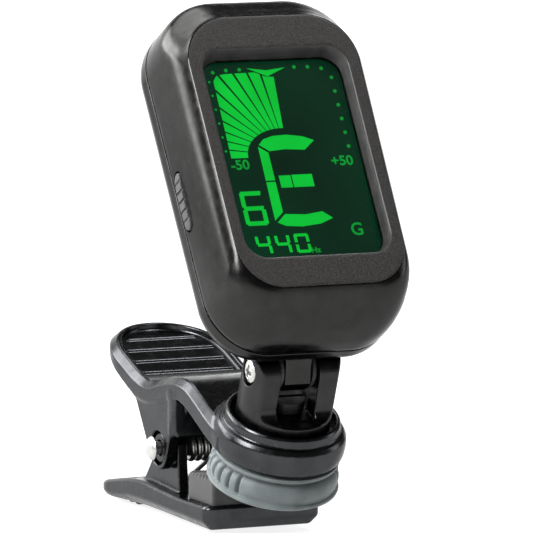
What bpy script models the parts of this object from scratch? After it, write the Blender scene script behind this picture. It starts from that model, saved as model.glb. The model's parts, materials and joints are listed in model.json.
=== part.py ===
"""Clip-on instrument tuner: a tilting and swivelling display head on a sprung clip.

The clip stands level. Its two jaws turn on a cross pin, a round boss on the upper jaw carries
a yoke that swivels, and the head tilts in the yoke. The origin is the point that the jaws grip.
Lengths in this file are millimetres; MM turns them into Blender's metres.
"""

import math

import bmesh
import bpy
from mathutils import Matrix, Vector

MM = 0.001
GAP = 0.3

# Where things are, in the clip frame: Y = 0 under the boss, Z = 0 at the lower jaw's underside.
GRIP_Y, GRIP_Z = 8.5, 8.3
BOSS_Z = 16.9
BOSS_PITCH = math.radians(20.6)
PIN_Y, PIN_Z = 22.5, 9.4

# The swivel frame: origin at the centre of the boss's top rim, Z along the swivel axis.
TILT_AXIS_Z = 6.75
HEAD_LEAN = math.radians(53.1)

# Boss and pads.
BOSS_FLOOR_TOP, BOSS_FLOOR_LOW, BOSS_LOW = -2.4, -4.0, -5.55
BOSS_PROFILE = (
    (8.4, 0.0), (8.6, -0.5), (8.6, -1.2), (9.0, -1.7), (9.2, -2.9), (9.0, -4.6),
    (8.75, BOSS_LOW), (3.4, BOSS_LOW), (3.4, BOSS_FLOOR_LOW), (1.65, BOSS_FLOOR_LOW),
    (1.65, BOSS_FLOOR_TOP), (7.9, BOSS_FLOOR_TOP), (7.9, -0.3), (8.1, 0.0),
)
PAD_TOP = BOSS_LOW - GAP
PAD_PROFILE = (
    (8.6, PAD_TOP), (8.6, -6.35), (7.8, -6.6), (7.8, -6.9), (8.5, -7.2), (8.9, -8.4),
    (8.8, -9.6), (9.1, -9.8), (9.1, -10.2), (8.8, -10.4), (0.0, -10.4), (0.0, -6.9),
    (3.7, -6.9), (3.7, PAD_TOP),
)
LOWER_PAD_OUTLINE = ((6.9, 4.1), (15.5, 4.1), (15.5, 7.1), (7.6, 8.1), (6.9, 7.8))
LOWER_PAD_HALF = 7.4

# Upper jaw: stations along Y of (y, half width, underside z, top z).
JAW_HALF = 9.2
UPPER_STATIONS = (
    (1.0, 8.9, 11.5, 14.9), (6.0, 9.1, 13.4, 16.9), (9.5, JAW_HALF, 15.0, 18.5),
    (12.5, JAW_HALF, 16.3, 19.7), (15.5, JAW_HALF, 17.0, 20.1), (18.5, JAW_HALF, 16.8, 19.9),
    (22.5, JAW_HALF, 15.9, 19.1), (26.5, JAW_HALF, 15.4, 18.3), (30.0, JAW_HALF, 15.7, 18.8),
    (34.5, JAW_HALF, 17.3, 20.3), (38.5, JAW_HALF, 19.1, 21.7), (41.5, 8.5, 20.4, 22.7),
    (44.0, 6.8, 21.3, 23.3), (46.0, 4.4, 21.9, 23.7), (47.0, 2.2, 22.2, 23.8),
)
RIM_WIDTH = 1.5
RECESS_DEPTH = 1.0
RECESS_Y = (29.0, 31.0, 34.5, 38.5, 41.5, 44.0, 45.2)
RIDGE_R, RIDGE_HALF, RIDGE_PITCH, RIDGE_COUNT, RIDGE_START = 0.5, 6.4, 3.2, 4, 32.2
EAR_IN, EAR_OUT, EAR_END_R, EAR_HOLE_R = 7.4, 8.9, 3.0, 2.4
WEB_Y, WEB_LOW, WEB_THICK = 17.0, 12.5, 1.3

# Lower jaw: stations as above.
LOWER_STATIONS = (
    (6.2, 8.7, 0.0, 3.8), (14.0, 8.7, 0.0, 3.8), (32.0, 8.7, 0.0, 3.8), (36.5, 8.7, -0.2, 3.2),
    (42.0, 8.6, -0.2, 2.5), (44.5, 7.2, 0.1, 2.3), (46.0, 5.2, 0.4, 2.1), (47.0, 2.6, 0.6, 1.9),
)
TRAY_HALF, TRAY_FLOOR, TRAY_FRONT, TRAY_BACK = 5.3, 1.6, 18.6, 34.0
LOWER_EAR_IN, LOWER_EAR_OUT, LOWER_EAR_R, COLLAR_R, COLLAR_OUT = 5.6, 7.1, 2.9, 2.05, 8.6
GRIP_RIB_R, GRIP_RIB_HALF, GRIP_RIB_START, GRIP_RIB_PITCH, GRIP_RIB_COUNT = 0.8, 6.0, 31.0, 2.6, 4

# Pin and spring.
PIN_R, PIN_HEAD_R, PIN_HOLE_R = 0.9, 1.65, 1.15
PIN_HEAD_X, PIN_HEAD_THICK, PIN_END_X = -10.3, 0.7, 10.2
COIL_R, WIRE_R, COIL_TURNS, COIL_INNER_X, COIL_OUTER_X = 1.8, 0.40, 3.5, 0.9, 4.4
COIL_STEPS = 10
UPPER_LEG_END, LOWER_LEG_END = (32.0, 15.0), (32.0, 2.6)

# Yoke, in the swivel frame.
YOKE_R, YOKE_LOW, YOKE_TOP, YOKE_LIP, EAR_FLAT, EAR_FILLET, EAR_TOP_R = 6.7, -1.4, 9.35, 1.0, 3.5, 1.4, 2.6
SLOT_HALF, SLOT_FLOOR = 2.8, 3.2
SCREW_R, SCREW_HOLE_R, HINGE_HEAD_R, HINGE_HEAD_X = 1.0, 1.25, 1.65, (-6.5, -5.45)
STUD_R, STUD_HOLE_R, STUD_HEAD_R, STUD_HEAD_Z = 1.35, 1.65, 2.6, (1.0, 2.6)

# Head, in the head frame: origin on the tilt axis, Y from face to back, Z up the head.
FACE_Y, PARTING_Y, REAR_Y, WALL = -17.5, -7.2, -2.9, 1.4
HEAD_TAPER = 0.07  # how much narrower the shells are at the bottom than at the top
# Sections of (y, half width, low z, high z, corner radius).
CASING_OUTSIDE = (
    (PARTING_Y - GAP / 2, 14.8, -1.0, 49.5, 8.5), (-10.5, 14.75, -0.7, 49.4, 8.4),
    (-13.3, 14.5, 0.3, 49.1, 8.2), (-15.9, 14.1, 2.3, 46.6, 7.6), (-17.0, 13.5, 3.6, 45.4, 7.0),
    (FACE_Y, 12.9, 4.3, 44.9, 6.5),
)
CASING_INSIDE = (
    (PARTING_Y + 1.0, 13.4, 0.4, 48.1, 7.1), (-10.5, 13.3, 0.7, 48.0, 7.0),
    (-13.3, 13.1, 1.8, 47.6, 6.8), (-15.2, 12.7, 3.6, 46.0, 6.2), (-16.3, 12.3, 5.0, 44.4, 5.5),
)
COVER_OUTSIDE = (
    (PARTING_Y + GAP / 2, 14.8, -1.0, 49.5, 8.5), (-5.0, 14.6, -0.8, 49.3, 8.3),
    (-3.6, 13.9, -0.1, 48.6, 7.6), (REAR_Y, 12.8, 1.0, 47.5, 6.5),
)
COVER_INSIDE = (
    (PARTING_Y - 1.0, 13.4, 0.4, 48.1, 7.1), (-5.4, 13.2, 0.6, 47.9, 6.9),
    (REAR_Y - WALL, 12.3, 1.5, 47.0, 6.0),
)
WINDOW = (10.75, 8.8, 40.0, 3.0)
POSTS = (("top_left", -8.0, 44.3), ("top_right", 8.0, 44.3), ("low_left", -8.0, 5.0), ("low_right", 8.0, 5.0))
POST_R, POST_HOLE_R, BOSS_SCREW_R, CASE_HEAD_R = 1.9, 1.05, 0.8, 1.6
LUG_R, LUG_HALF = 2.9, 2.0
BATTERY_Z, BATTERY_R, BATTERY_Y = 25.0, 10.0, (-9.5, -6.3)
DOOR_R, DOOR_GAP_R = 11.6, 11.9
BUTTON_Z, BUTTON_Y, BUTTON_HALF_Z, BUTTON_HALF_Y, BUTTON_OUT = 21.6, -8.9, 4.2, 0.9, 14.6

# Colour, roughness and metallic value of each material.
MATERIALS = {
    "casing_black": ((0.018, 0.018, 0.018), 0.45, 0.0),
    "clip_black": ((0.010, 0.010, 0.011), 0.30, 0.0),
    "grey_rubber": ((0.17, 0.20, 0.19), 0.75, 0.0),
    "dark_rubber": ((0.03, 0.03, 0.03), 0.80, 0.0),
    "bright_steel": ((0.62, 0.62, 0.60), 0.22, 1.0),
    "clear_lens": ((0.02, 0.06, 0.04), 0.05, 0.0),
    "lcd_glass": ((0.0, 0.30, 0.06), 0.20, 0.0),
    "board_green": ((0.02, 0.16, 0.06), 0.50, 0.0),
    "brass": ((0.60, 0.43, 0.16), 0.35, 1.0),
    "washer_nylon": ((0.75, 0.75, 0.72), 0.55, 0.0),
    "backlight_white": ((0.80, 0.80, 0.78), 0.50, 0.0),
}


def clear_scene():
    for thing in list(bpy.data.objects):
        bpy.data.objects.remove(thing, do_unlink=True)


def new_collection(name, hidden=False):
    collection = bpy.data.collections.new(name)
    bpy.context.scene.collection.children.link(collection)
    collection.hide_render = hidden
    return collection


def new_axis(name, matrix, parent=None):
    """An empty at a frame's origin; moving pieces are parented to it."""
    axis = bpy.data.objects.new(name, None)
    axis.empty_display_size = 5 * MM
    TUNER.objects.link(axis)
    axis.parent = parent
    axis.matrix_world = matrix
    return axis


def material(name):
    """The named Principled material, made the first time it is asked for."""
    if name in bpy.data.materials:
        return bpy.data.materials[name]
    colour, roughness, metallic = MATERIALS[name]
    made = bpy.data.materials.new(name)
    made.use_nodes = True
    shader = made.node_tree.nodes["Principled BSDF"]
    shader.inputs["Base Color"].default_value = (*colour, 1.0)
    shader.inputs["Roughness"].default_value = roughness
    shader.inputs["Metallic"].default_value = metallic
    return made


class Frame:
    """Makes pieces in one coordinate frame: its matrix places them, its axis is their parent."""

    def __init__(self, matrix, axis):
        self.matrix = matrix
        self.axis = axis

    def object_from(self, name, mesh):
        made = bpy.data.objects.new(name, mesh)
        HELPERS.objects.link(made)
        made.hide_render = True
        made.display_type = "WIRE"
        made.parent = self.axis
        made.matrix_parent_inverse = self.axis.matrix_world.inverted()
        made.matrix_basis = self.matrix
        return made

    def object_from_bmesh(self, name, shape, turn=None):
        if turn is not None:
            bmesh.ops.transform(shape, matrix=turn, verts=shape.verts)
        bmesh.ops.scale(shape, vec=(MM, MM, MM), verts=shape.verts)
        bmesh.ops.recalc_face_normals(shape, faces=shape.faces)
        mesh = bpy.data.meshes.new(name)
        shape.to_mesh(mesh)
        shape.free()
        return self.object_from(name, mesh)

    def box(self, name, low, high):
        shape = bmesh.new()
        bmesh.ops.create_cube(shape, size=1.0)
        size = Vector(high) - Vector(low)
        centre = (Vector(high) + Vector(low)) / 2
        return self.object_from_bmesh(name, shape, Matrix.Translation(centre) @ Matrix.Diagonal((*size, 1.0)))

    def rod(self, name, radius, span, axis="Z", centre=(0.0, 0.0), segments=24):
        """A cylinder along X, Y or Z; centre is its place on the other two axes, in their order."""
        shape = bmesh.new()
        bmesh.ops.create_cone(
            shape, cap_ends=True, segments=segments, radius1=radius, radius2=radius, depth=span[1] - span[0]
        )
        middle = (span[0] + span[1]) / 2
        turn = {
            "X": Matrix.Translation((middle, *centre)) @ Matrix.Rotation(math.pi / 2, 4, "Y"),
            "Y": Matrix.Translation((centre[0], middle, centre[1])) @ Matrix.Rotation(-math.pi / 2, 4, "X"),
            "Z": Matrix.Translation((*centre, middle)),
        }
        return self.object_from_bmesh(name, shape, turn[axis])

    def tube(self, name, inner, outer, span, axis="Z", centre=(0.0, 0.0), segments=24):
        ring = self.rod(name, outer, span, axis, centre, segments)
        bore = self.rod(name + "_bore", inner, (span[0] - 1, span[1] + 1), axis, centre, segments)
        return cut(ring, bore)

    def turned(self, name, profile, steps=48):
        """A closed profile of (radius, z), outer side first from top to bottom, turned about Z."""
        mesh = bpy.data.meshes.new(name)
        points = [(r * MM, 0.0, z * MM) for r, z in profile]
        edges = [(i, (i + 1) % len(points)) for i in range(len(points))]
        mesh.from_pydata(points, edges, [])
        made = self.object_from(name, mesh)
        screw = made.modifiers.new("turn", "SCREW")
        screw.steps = screw.render_steps = steps
        screw.use_merge_vertices = True
        screw.merge_threshold = 0.00001
        return made

    def prism(self, name, outline, span, axis):
        """A flat outline extruded along an axis; its points are on the other two axes, in their order."""
        curve = bpy.data.curves.new(name, "CURVE")
        curve.dimensions = "2D"
        curve.fill_mode = "BOTH"
        curve.extrude = (span[1] - span[0]) / 2 * MM
        spline = curve.splines.new("POLY")
        spline.points.add(len(outline) - 1)
        for point, (a, b) in zip(spline.points, outline):
            point.co = (a * MM, b * MM, 0.0, 1.0)
        spline.use_cyclic_u = True
        flat = bpy.data.objects.new(name, curve)
        HELPERS.objects.link(flat)
        made = self.object_from(name, mesh_of_curve(flat))
        middle = (span[0] + span[1]) / 2 * MM
        turn = {
            "X": Matrix(((0, 0, 1, middle), (1, 0, 0, 0), (0, 1, 0, 0), (0, 0, 0, 1))),
            "Y": Matrix(((1, 0, 0, 0), (0, 0, -1, middle), (0, 1, 0, 0), (0, 0, 0, 1))),
            "Z": Matrix.Translation((0, 0, middle)),
        }
        made.data.transform(turn[axis])
        return made

    def loft(self, name, loops):
        """A closed solid through loops of points that all have the same count."""
        shape = bmesh.new()
        rings = [[shape.verts.new(point) for point in loop] for loop in loops]
        for near, far in zip(rings, rings[1:]):
            for i in range(len(near)):
                j = (i + 1) % len(near)
                shape.faces.new((near[i], near[j], far[j], far[i]))
        shape.faces.new(rings[0])
        shape.faces.new(rings[-1])
        return self.object_from_bmesh(name, shape)

    def shell_loft(self, name, sections):
        """A loft through rounded rectangles that face along Y, tapered down the head."""
        low, high = sections[0][2], sections[0][3]
        loops = []
        for y, *section in sections:
            outline = rounded_rectangle(*section)
            loops.append([(x * (1 - HEAD_TAPER * (high - z) / (high - low)), y, z) for x, z in outline])
        return self.loft(name, loops)

    def finish(self, made, name, material_name):
        """Moves a piece out of the helpers and gives it its name and material."""
        HELPERS.objects.unlink(made)
        TUNER.objects.link(made)
        made.hide_render = False
        made.display_type = "TEXTURED"
        made.name = name
        made.data.materials.clear()
        made.data.materials.append(material(material_name))
        made.data.shade_smooth()
        made.data.set_sharp_from_angle(angle=math.radians(35))
        return made


def mesh_of_curve(flat):
    """Turns a curve object into a mesh with its caps welded, and removes the curve."""
    bpy.context.view_layer.update()
    graph = bpy.context.evaluated_depsgraph_get()
    mesh = bpy.data.meshes.new_from_object(flat.evaluated_get(graph))
    shape = bmesh.new()
    shape.from_mesh(mesh)
    bmesh.ops.remove_doubles(shape, verts=shape.verts, dist=0.000001)
    bmesh.ops.recalc_face_normals(shape, faces=shape.faces)
    shape.to_mesh(mesh)
    shape.free()
    bpy.data.objects.remove(flat, do_unlink=True)
    return mesh


def boolean(target, other, operation):
    step = target.modifiers.new(operation.lower(), "BOOLEAN")
    step.operation = operation
    step.solver = "EXACT"
    step.object = other
    return target


def cut(target, *cutters):
    for cutter in cutters:
        boolean(target, cutter, "DIFFERENCE")
    return target


def add(target, *others):
    for other in others:
        boolean(target, other, "UNION")
    return target


def arc(centre, radius, start, end, steps=8):
    """Points on an arc, with its angles in degrees."""
    turn = [math.radians(start + (end - start) * i / steps) for i in range(steps + 1)]
    return [(centre[0] + radius * math.cos(t), centre[1] + radius * math.sin(t)) for t in turn]


def rounded_rectangle(half, low, high, radius, steps=5):
    corners = (
        ((half - radius, low + radius), -90), ((half - radius, high - radius), 0),
        ((-half + radius, high - radius), 90), ((-half + radius, low + radius), 180),
    )
    points = []
    for centre, start in corners:
        points += arc(centre, radius, start, start + 90, steps)
    return points


def jaw_section(y, half, low, high, chamfer_top=0.9, chamfer_low=0.4):
    """A jaw's cross section at one place along Y, chamfered along its edges."""
    side = min(half, 9.0)
    top = min(chamfer_top, side * 0.4)
    return [
        (-side + chamfer_low, y, low), (side - chamfer_low, y, low), (side, y, low + chamfer_low),
        (side, y, high - top), (side - top, y, high), (-side + top, y, high),
        (-side, y, high - top), (-side, y, low + chamfer_low),
    ]


def between(stations, y, column):
    """A column of the stations, read off at y."""
    for near, far in zip(stations, stations[1:]):
        if near[0] <= y <= far[0]:
            share = (y - near[0]) / (far[0] - near[0])
            return near[column] + share * (far[column] - near[column])
    raise ValueError(y)


# ---------------------------------------------------------------- upper jaw and its pad


def thumb_recess(frame):
    """The cutter for the sunk finger area, which follows the lever's top."""
    loops = []
    for y in RECESS_Y:
        half = between(UPPER_STATIONS, y, 1) - RIM_WIDTH
        floor = between(UPPER_STATIONS, y, 3) - RECESS_DEPTH
        loops.append([(-half, y, floor), (half, y, floor), (half, y, floor + 6), (-half, y, floor + 6)])
    return frame.loft("thumb_recess", loops)


def thumb_ridges(frame):
    ridges = []
    for i in range(RIDGE_COUNT):
        y = RIDGE_START + i * RIDGE_PITCH
        z = between(UPPER_STATIONS, y, 3) - RECESS_DEPTH
        ridges.append(frame.rod(f"ridge_{i}", RIDGE_R, (-RIDGE_HALF, RIDGE_HALF), "X", (y, z), 8))
    return ridges


def upper_ears(frame):
    outline = [(15.8, 17.9)] + arc((PIN_Y, PIN_Z), EAR_END_R, 200, 340, 9) + [(31.2, 16.7)]
    spans = ((-EAR_OUT, -EAR_IN), (EAR_IN, EAR_OUT))
    return [frame.prism(f"upper_ear_{i}", outline, span, "X") for i, span in enumerate(spans)]


def make_upper_jaw(clip, boss_frame):
    body = boss_frame.turned("boss", BOSS_PROFILE)
    lever = clip.loft("lever", [jaw_section(*station) for station in UPPER_STATIONS])
    recess_seat = boss_frame.rod("boss_recess", 7.9, (BOSS_FLOOR_TOP, 6), segments=48)
    web = clip.box("web", (-7.8, WEB_Y, WEB_LOW), (7.8, WEB_Y + WEB_THICK, 17.6))
    cut(lever, boss_frame.rod("boss_seat", 8.0, (-9, 6), segments=48), thumb_recess(clip))
    add(lever, *thumb_ridges(clip), body, web, *upper_ears(clip))
    holes = clip.rod("ear_holes", EAR_HOLE_R, (-12, 12), "X", (PIN_Y, PIN_Z))
    cut(lever, recess_seat, holes)
    clip.finish(lever, "upper_jaw", "clip_black")
    pad = boss_frame.turned("pad", PAD_PROFILE)
    boss_frame.finish(pad, "upper_pad", "grey_rubber")


# ---------------------------------------------------------------- lower jaw and its pad


def lower_ears(frame):
    outline = [(19.0, 2.0)] + arc((PIN_Y, PIN_Z), LOWER_EAR_R, 180, 30, 9) + [(32.0, 3.0), (32.0, 2.0)]
    spans = ((-LOWER_EAR_OUT, -LOWER_EAR_IN), (LOWER_EAR_IN, LOWER_EAR_OUT))
    return [frame.prism(f"lower_ear_{i}", outline, span, "X") for i, span in enumerate(spans)]


def make_lower_jaw(clip):
    jaw = clip.loft("lower", [jaw_section(*station, 0.5, 1.2) for station in LOWER_STATIONS])
    cut(jaw, clip.box("tray", (-TRAY_HALF, TRAY_FRONT, TRAY_FLOOR), (TRAY_HALF, TRAY_BACK, 9)))
    add(jaw, *lower_ears(clip))
    for i, side in enumerate((-1, 1)):
        span = sorted((side * (LOWER_EAR_IN + 0.2), side * COLLAR_OUT))
        add(jaw, clip.rod(f"collar_{i}", COLLAR_R, span, "X", (PIN_Y, PIN_Z)))
    for i in range(GRIP_RIB_COUNT):
        y = GRIP_RIB_START + i * GRIP_RIB_PITCH
        half = (-GRIP_RIB_HALF, GRIP_RIB_HALF)
        add(jaw, clip.rod(f"grip_rib_{i}", GRIP_RIB_R, half, "X", (y, 0.1), 10))
    cut(jaw, clip.rod("pin_holes", PIN_HOLE_R, (-12, 12), "X", (PIN_Y, PIN_Z)))
    clip.finish(jaw, "lower_jaw", "clip_black")
    pad = clip.prism("pad_block", LOWER_PAD_OUTLINE, (-LOWER_PAD_HALF, LOWER_PAD_HALF), "X")
    clip.finish(pad, "lower_pad", "dark_rubber")


# ---------------------------------------------------------------- pin and spring


def make_pin(clip):
    pin = clip.rod("pin", PIN_R, (PIN_HEAD_X + 0.3, PIN_END_X), "X", (PIN_Y, PIN_Z))
    head = clip.rod("pin_head", PIN_HEAD_R, (PIN_HEAD_X, PIN_HEAD_X + PIN_HEAD_THICK), "X", (PIN_Y, PIN_Z))
    clip.finish(add(pin, head), "pivot_pin", "bright_steel")
    span = (EAR_OUT + GAP, EAR_OUT + GAP + 0.6)
    clip.finish(clip.tube("clip_ring", PIN_HOLE_R, 1.8, span, "X", (PIN_Y, PIN_Z)), "pin_retainer", "bright_steel")


def half_spring():
    """One side of the spring, from the end of its outer leg in to the middle of the bridge."""
    points = [(COIL_OUTER_X, *UPPER_LEG_END)]
    count = int(COIL_TURNS * COIL_STEPS)
    for i in range(count + 1):
        turn = math.radians(90 + 360 * COIL_TURNS * i / count)
        x = COIL_OUTER_X + (COIL_INNER_X - COIL_OUTER_X) * i / count
        points.append((x, PIN_Y + COIL_R * math.cos(turn), PIN_Z + COIL_R * math.sin(turn)))
    points.append((COIL_INNER_X, *LOWER_LEG_END))
    return points


def make_spring(clip):
    half = half_spring()
    path = half + [(-x, y, z) for x, y, z in reversed(half)]
    curve = bpy.data.curves.new("wire", "CURVE")
    curve.dimensions = "3D"
    curve.bevel_depth = WIRE_R * MM
    curve.bevel_resolution = 1
    curve.use_fill_caps = True
    spline = curve.splines.new("POLY")
    spline.points.add(len(path) - 1)
    for point, place in zip(spline.points, path):
        point.co = (*(value * MM for value in place), 1.0)
    wire = bpy.data.objects.new("wire", curve)
    HELPERS.objects.link(wire)
    clip.finish(clip.object_from("spring", mesh_of_curve(wire)), "torsion_spring", "bright_steel")


# ---------------------------------------------------------------- yoke and its fixings


def yoke_outline():
    """The yoke from the side: a base with two flat-fronted ears above it, filleted into its lip."""
    top = YOKE_TOP - EAR_TOP_R
    inner = EAR_FLAT - EAR_TOP_R
    fillet = (EAR_FLAT + EAR_FILLET, YOKE_LIP + EAR_FILLET)
    right = [(7.2, YOKE_LOW), (7.2, YOKE_LIP)] + arc(fillet, EAR_FILLET, 270, 180, 5)
    right += arc((inner, top), EAR_TOP_R, 0, 90, 5)
    return right + [(-y, z) for y, z in reversed(right)]


def make_yoke(swivel):
    yoke = swivel.rod("yoke_blank", YOKE_R, (YOKE_LOW, YOKE_TOP + 1), segments=48)
    boolean(yoke, swivel.prism("yoke_side", yoke_outline(), (-8, 8), "X"), "INTERSECT")
    tilt = (0.0, TILT_AXIS_Z)
    cut(
        yoke,
        swivel.box("slot", (-SLOT_HALF, -9, SLOT_FLOOR), (SLOT_HALF, 9, 14)),
        swivel.rod("stud_hole", STUD_HOLE_R, (-6, 6)),
        swivel.rod("stud_counterbore", 2.95, (0.7, 6)),
        swivel.rod("hinge_hole", SCREW_HOLE_R, (-12, 12), "X", tilt),
        swivel.rod("head_counterbore", 1.95, (-12, HINGE_HEAD_X[1] + 0.15), "X", tilt),
        swivel.rod("nut_pocket", 2.25, (4.55, 12), "X", tilt, 6),
    )
    swivel.finish(yoke, "yoke", "casing_black")


def make_hinge_fixings(swivel):
    tilt = (0.0, TILT_AXIS_Z)
    screw = swivel.rod("hinge_shank", SCREW_R, (HINGE_HEAD_X[0] + 0.2, 6.2), "X", tilt)
    add(screw, swivel.rod("hinge_head", HINGE_HEAD_R, HINGE_HEAD_X, "X", tilt))
    cross = [(HINGE_HEAD_X[0] - 1, *low) for low in ((-0.25, TILT_AXIS_Z - 1.0), (-1.0, TILT_AXIS_Z - 0.25))]
    ends = [(HINGE_HEAD_X[0] + 0.5, *high) for high in ((0.25, TILT_AXIS_Z + 1.0), (1.0, TILT_AXIS_Z + 0.25))]
    for i, (low, high) in enumerate(zip(cross, ends)):
        cut(screw, swivel.box(f"cross_{i}", low, high))
    swivel.finish(screw, "hinge_screw", "bright_steel")
    nut = swivel.tube("nut_blank", SCREW_HOLE_R, 1.95, (4.7, 6.0), "X", tilt, 6)
    swivel.finish(nut, "hinge_nut", "bright_steel")
    for side, span in (("left", (-2.65, -2.15)), ("right", (2.15, 2.65))):
        ring = swivel.tube(f"ring_{side}", SCREW_HOLE_R, 2.6, span, "X", tilt)
        swivel.finish(ring, f"friction_washer_{side}", "washer_nylon")


def make_swivel_fixings(swivel):
    stud = swivel.rod("stud_shank", STUD_R, (-6.4, STUD_HEAD_Z[0] + 0.2))
    add(stud, swivel.rod("stud_head", STUD_HEAD_R, STUD_HEAD_Z))
    cut(stud, swivel.box("stud_slot", (-3, -0.3, STUD_HEAD_Z[1] - 0.6), (3, 0.3, 4)))
    swivel.finish(stud, "swivel_screw", "bright_steel")
    washer = swivel.tube("wide_ring", STUD_HOLE_R, 5.5, (-2.15, -1.65))
    swivel.finish(washer, "swivel_washer", "washer_nylon")
    spring = swivel.tube("wave_ring", STUD_HOLE_R, 2.9, (-4.65, -4.2))
    swivel.finish(spring, "spring_washer", "bright_steel")
    nut = swivel.tube("stud_nut_blank", STUD_HOLE_R, 2.9, (-6.2, -4.9), segments=6)
    swivel.finish(nut, "swivel_nut", "bright_steel")


# ---------------------------------------------------------------- head shells


def window_cutter(head, name, margin, span):
    half, low, high, radius = WINDOW
    return head.prism(name, rounded_rectangle(half + margin, low - margin, high + margin, radius), span, "Y")


def make_front_casing(head):
    casing = head.shell_loft("casing", CASING_OUTSIDE)
    cut(casing, head.shell_loft("casing_inside", CASING_INSIDE))
    cut(casing, window_cutter(head, "window_hole", 0.0, (-19, -15)))
    for name, x, z in POSTS:
        add(casing, head.rod(f"post_{name}", POST_R, (-15.3, PARTING_Y - 0.45), "Y", (x, z), 16))
    for name, x, z in POSTS:
        cut(casing, head.rod(f"pilot_{name}", POST_HOLE_R, (-12.0, -6), "Y", (x, z), 12))
    hole = rounded_rectangle(BUTTON_HALF_Y + GAP, BUTTON_Z - BUTTON_HALF_Z - GAP, BUTTON_Z + BUTTON_HALF_Z + GAP, 1.1, 3)
    cut(casing, head.prism("button_hole", [(y + BUTTON_Y, z) for y, z in hole], (-17, -11.8), "X"))
    head.finish(casing, "front_casing", "casing_black")


def lug_outline():
    return arc((0.0, 0.0), LUG_R, -110, 60, 10) + [(-3.6, 8.6), (-3.6, 0.4)]


def make_rear_cover(head):
    cover = head.shell_loft("cover", COVER_OUTSIDE)
    cut(cover, head.shell_loft("cover_inside", COVER_INSIDE))
    for name, x, z in POSTS:
        add(cover, head.rod(f"cover_boss_{name}", 2.6, (PARTING_Y - 0.15, -3.8), "Y", (x, z), 16))
    add(cover, head.prism("lug", lug_outline(), (-LUG_HALF, LUG_HALF), "X"))
    cut(cover, head.rod("lug_hole", SCREW_HOLE_R, (-4, 4), "X"))
    cut(cover, head.rod("door_hole", DOOR_GAP_R, (-6, 0), "Y", (0.0, BATTERY_Z), 40))
    for name, x, z in POSTS:
        cut(cover, head.rod(f"through_{name}", POST_HOLE_R, (-9, 0), "Y", (x, z), 12))
        cut(cover, head.rod(f"sink_{name}", CASE_HEAD_R + GAP, (-4.0, 0), "Y", (x, z), 16))
    head.finish(cover, "rear_cover", "casing_black")


def make_case_screws(head):
    for name, x, z in POSTS:
        screw = head.rod(f"shank_{name}", BOSS_SCREW_R, (-11.4, -3.4), "Y", (x, z), 12)
        add(screw, head.rod(f"head_{name}", CASE_HEAD_R, (-3.85, -3.0), "Y", (x, z), 16))
        cut(screw, head.box(f"drive_{name}", (x - 1.0, -3.4, z - 0.2), (x + 1.0, -2, z + 0.2)))
        head.finish(screw, f"case_screw_{name}", "bright_steel")


def make_battery_door(head):
    centre = (0.0, BATTERY_Z)
    door = head.rod("door", DOOR_R, (-4.3, REAR_Y), "Y", centre, 40)
    add(door, head.tube("door_rim", 10.4, 11.3, (-5.3, -4.2), "Y", centre, 32))
    for i in range(3):
        turn = math.radians(90 + 120 * i)
        x = 11.4 * math.cos(turn)
        z = BATTERY_Z + 11.4 * math.sin(turn)
        add(door, head.rod(f"bayonet_{i}", 0.9, (-5.3, -4.6), "Y", (x, z), 12))
    cut(door, head.box("coin_slot", (-5.0, -3.5, BATTERY_Z - 0.7), (5.0, -2, BATTERY_Z + 0.7)))
    head.finish(door, "battery_door", "casing_black")


def make_power_button(head):
    outline = rounded_rectangle(BUTTON_HALF_Y, BUTTON_Z - BUTTON_HALF_Z, BUTTON_Z + BUTTON_HALF_Z, 0.85, 3)
    cap = head.prism("button_cap", [(y + BUTTON_Y, z) for y, z in outline], (-BUTTON_OUT, -13.0), "X")
    flange = head.box(
        "button_flange",
        (-12.5, BUTTON_Y - 1.3, BUTTON_Z - BUTTON_HALF_Z),
        (-12.1, BUTTON_Y + 1.3, BUTTON_Z + BUTTON_HALF_Z),
    )
    stem = head.box("button_stem", (-13.3, BUTTON_Y - 0.5, BUTTON_Z - 3), (-12.0, BUTTON_Y + 0.5, BUTTON_Z + 3))
    add(cap, flange, stem)
    for i in range(5):
        z = BUTTON_Z + (i - 2) * 1.4
        cut(cap, head.box(f"rib_gap_{i}", (-BUTTON_OUT - 1, BUTTON_Y - 2, z - 0.2), (-BUTTON_OUT + 0.25, BUTTON_Y + 2, z + 0.2)))
    head.finish(cap, "power_button", "casing_black")


# ---------------------------------------------------------------- head insides


def make_display(head):
    lens = window_cutter(head, "lens_blank", 0.8, (-16.0, -15.1))
    head.finish(lens, "window_lens", "clear_lens")
    panel = window_cutter(head, "panel_blank", 0.2, (-14.8, -13.4))
    head.finish(panel, "lcd_panel", "lcd_glass")
    tray = window_cutter(head, "tray_blank", 1.0, (-14.8, -11.9))
    cut(tray, window_cutter(head, "tray_pocket", 0.45, (-16.0, -13.1)))
    head.finish(tray, "backlight_tray", "backlight_white")


def make_board(head):
    board = head.prism("board_blank", rounded_rectangle(12.0, 2.0, 46.8, 6.4), (-11.6, -10.6), "Y")
    for name, x, z in POSTS:
        cut(board, head.rod(f"board_hole_{name}", POST_R + GAP, (-13, -9), "Y", (x, z), 16))
    head.finish(board, "circuit_board", "board_green")
    switch = head.box("switch_blank", (-11.6, -10.3, BUTTON_Z - 2.6), (-11.0, -7.6, BUTTON_Z + 2.6))
    head.finish(switch, "button_switch", "bright_steel")
    disc = head.rod("disc", 3.4, (-10.3, -9.7), "Y", (0.0, 8.0))
    head.finish(disc, "vibration_pickup", "brass")


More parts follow.
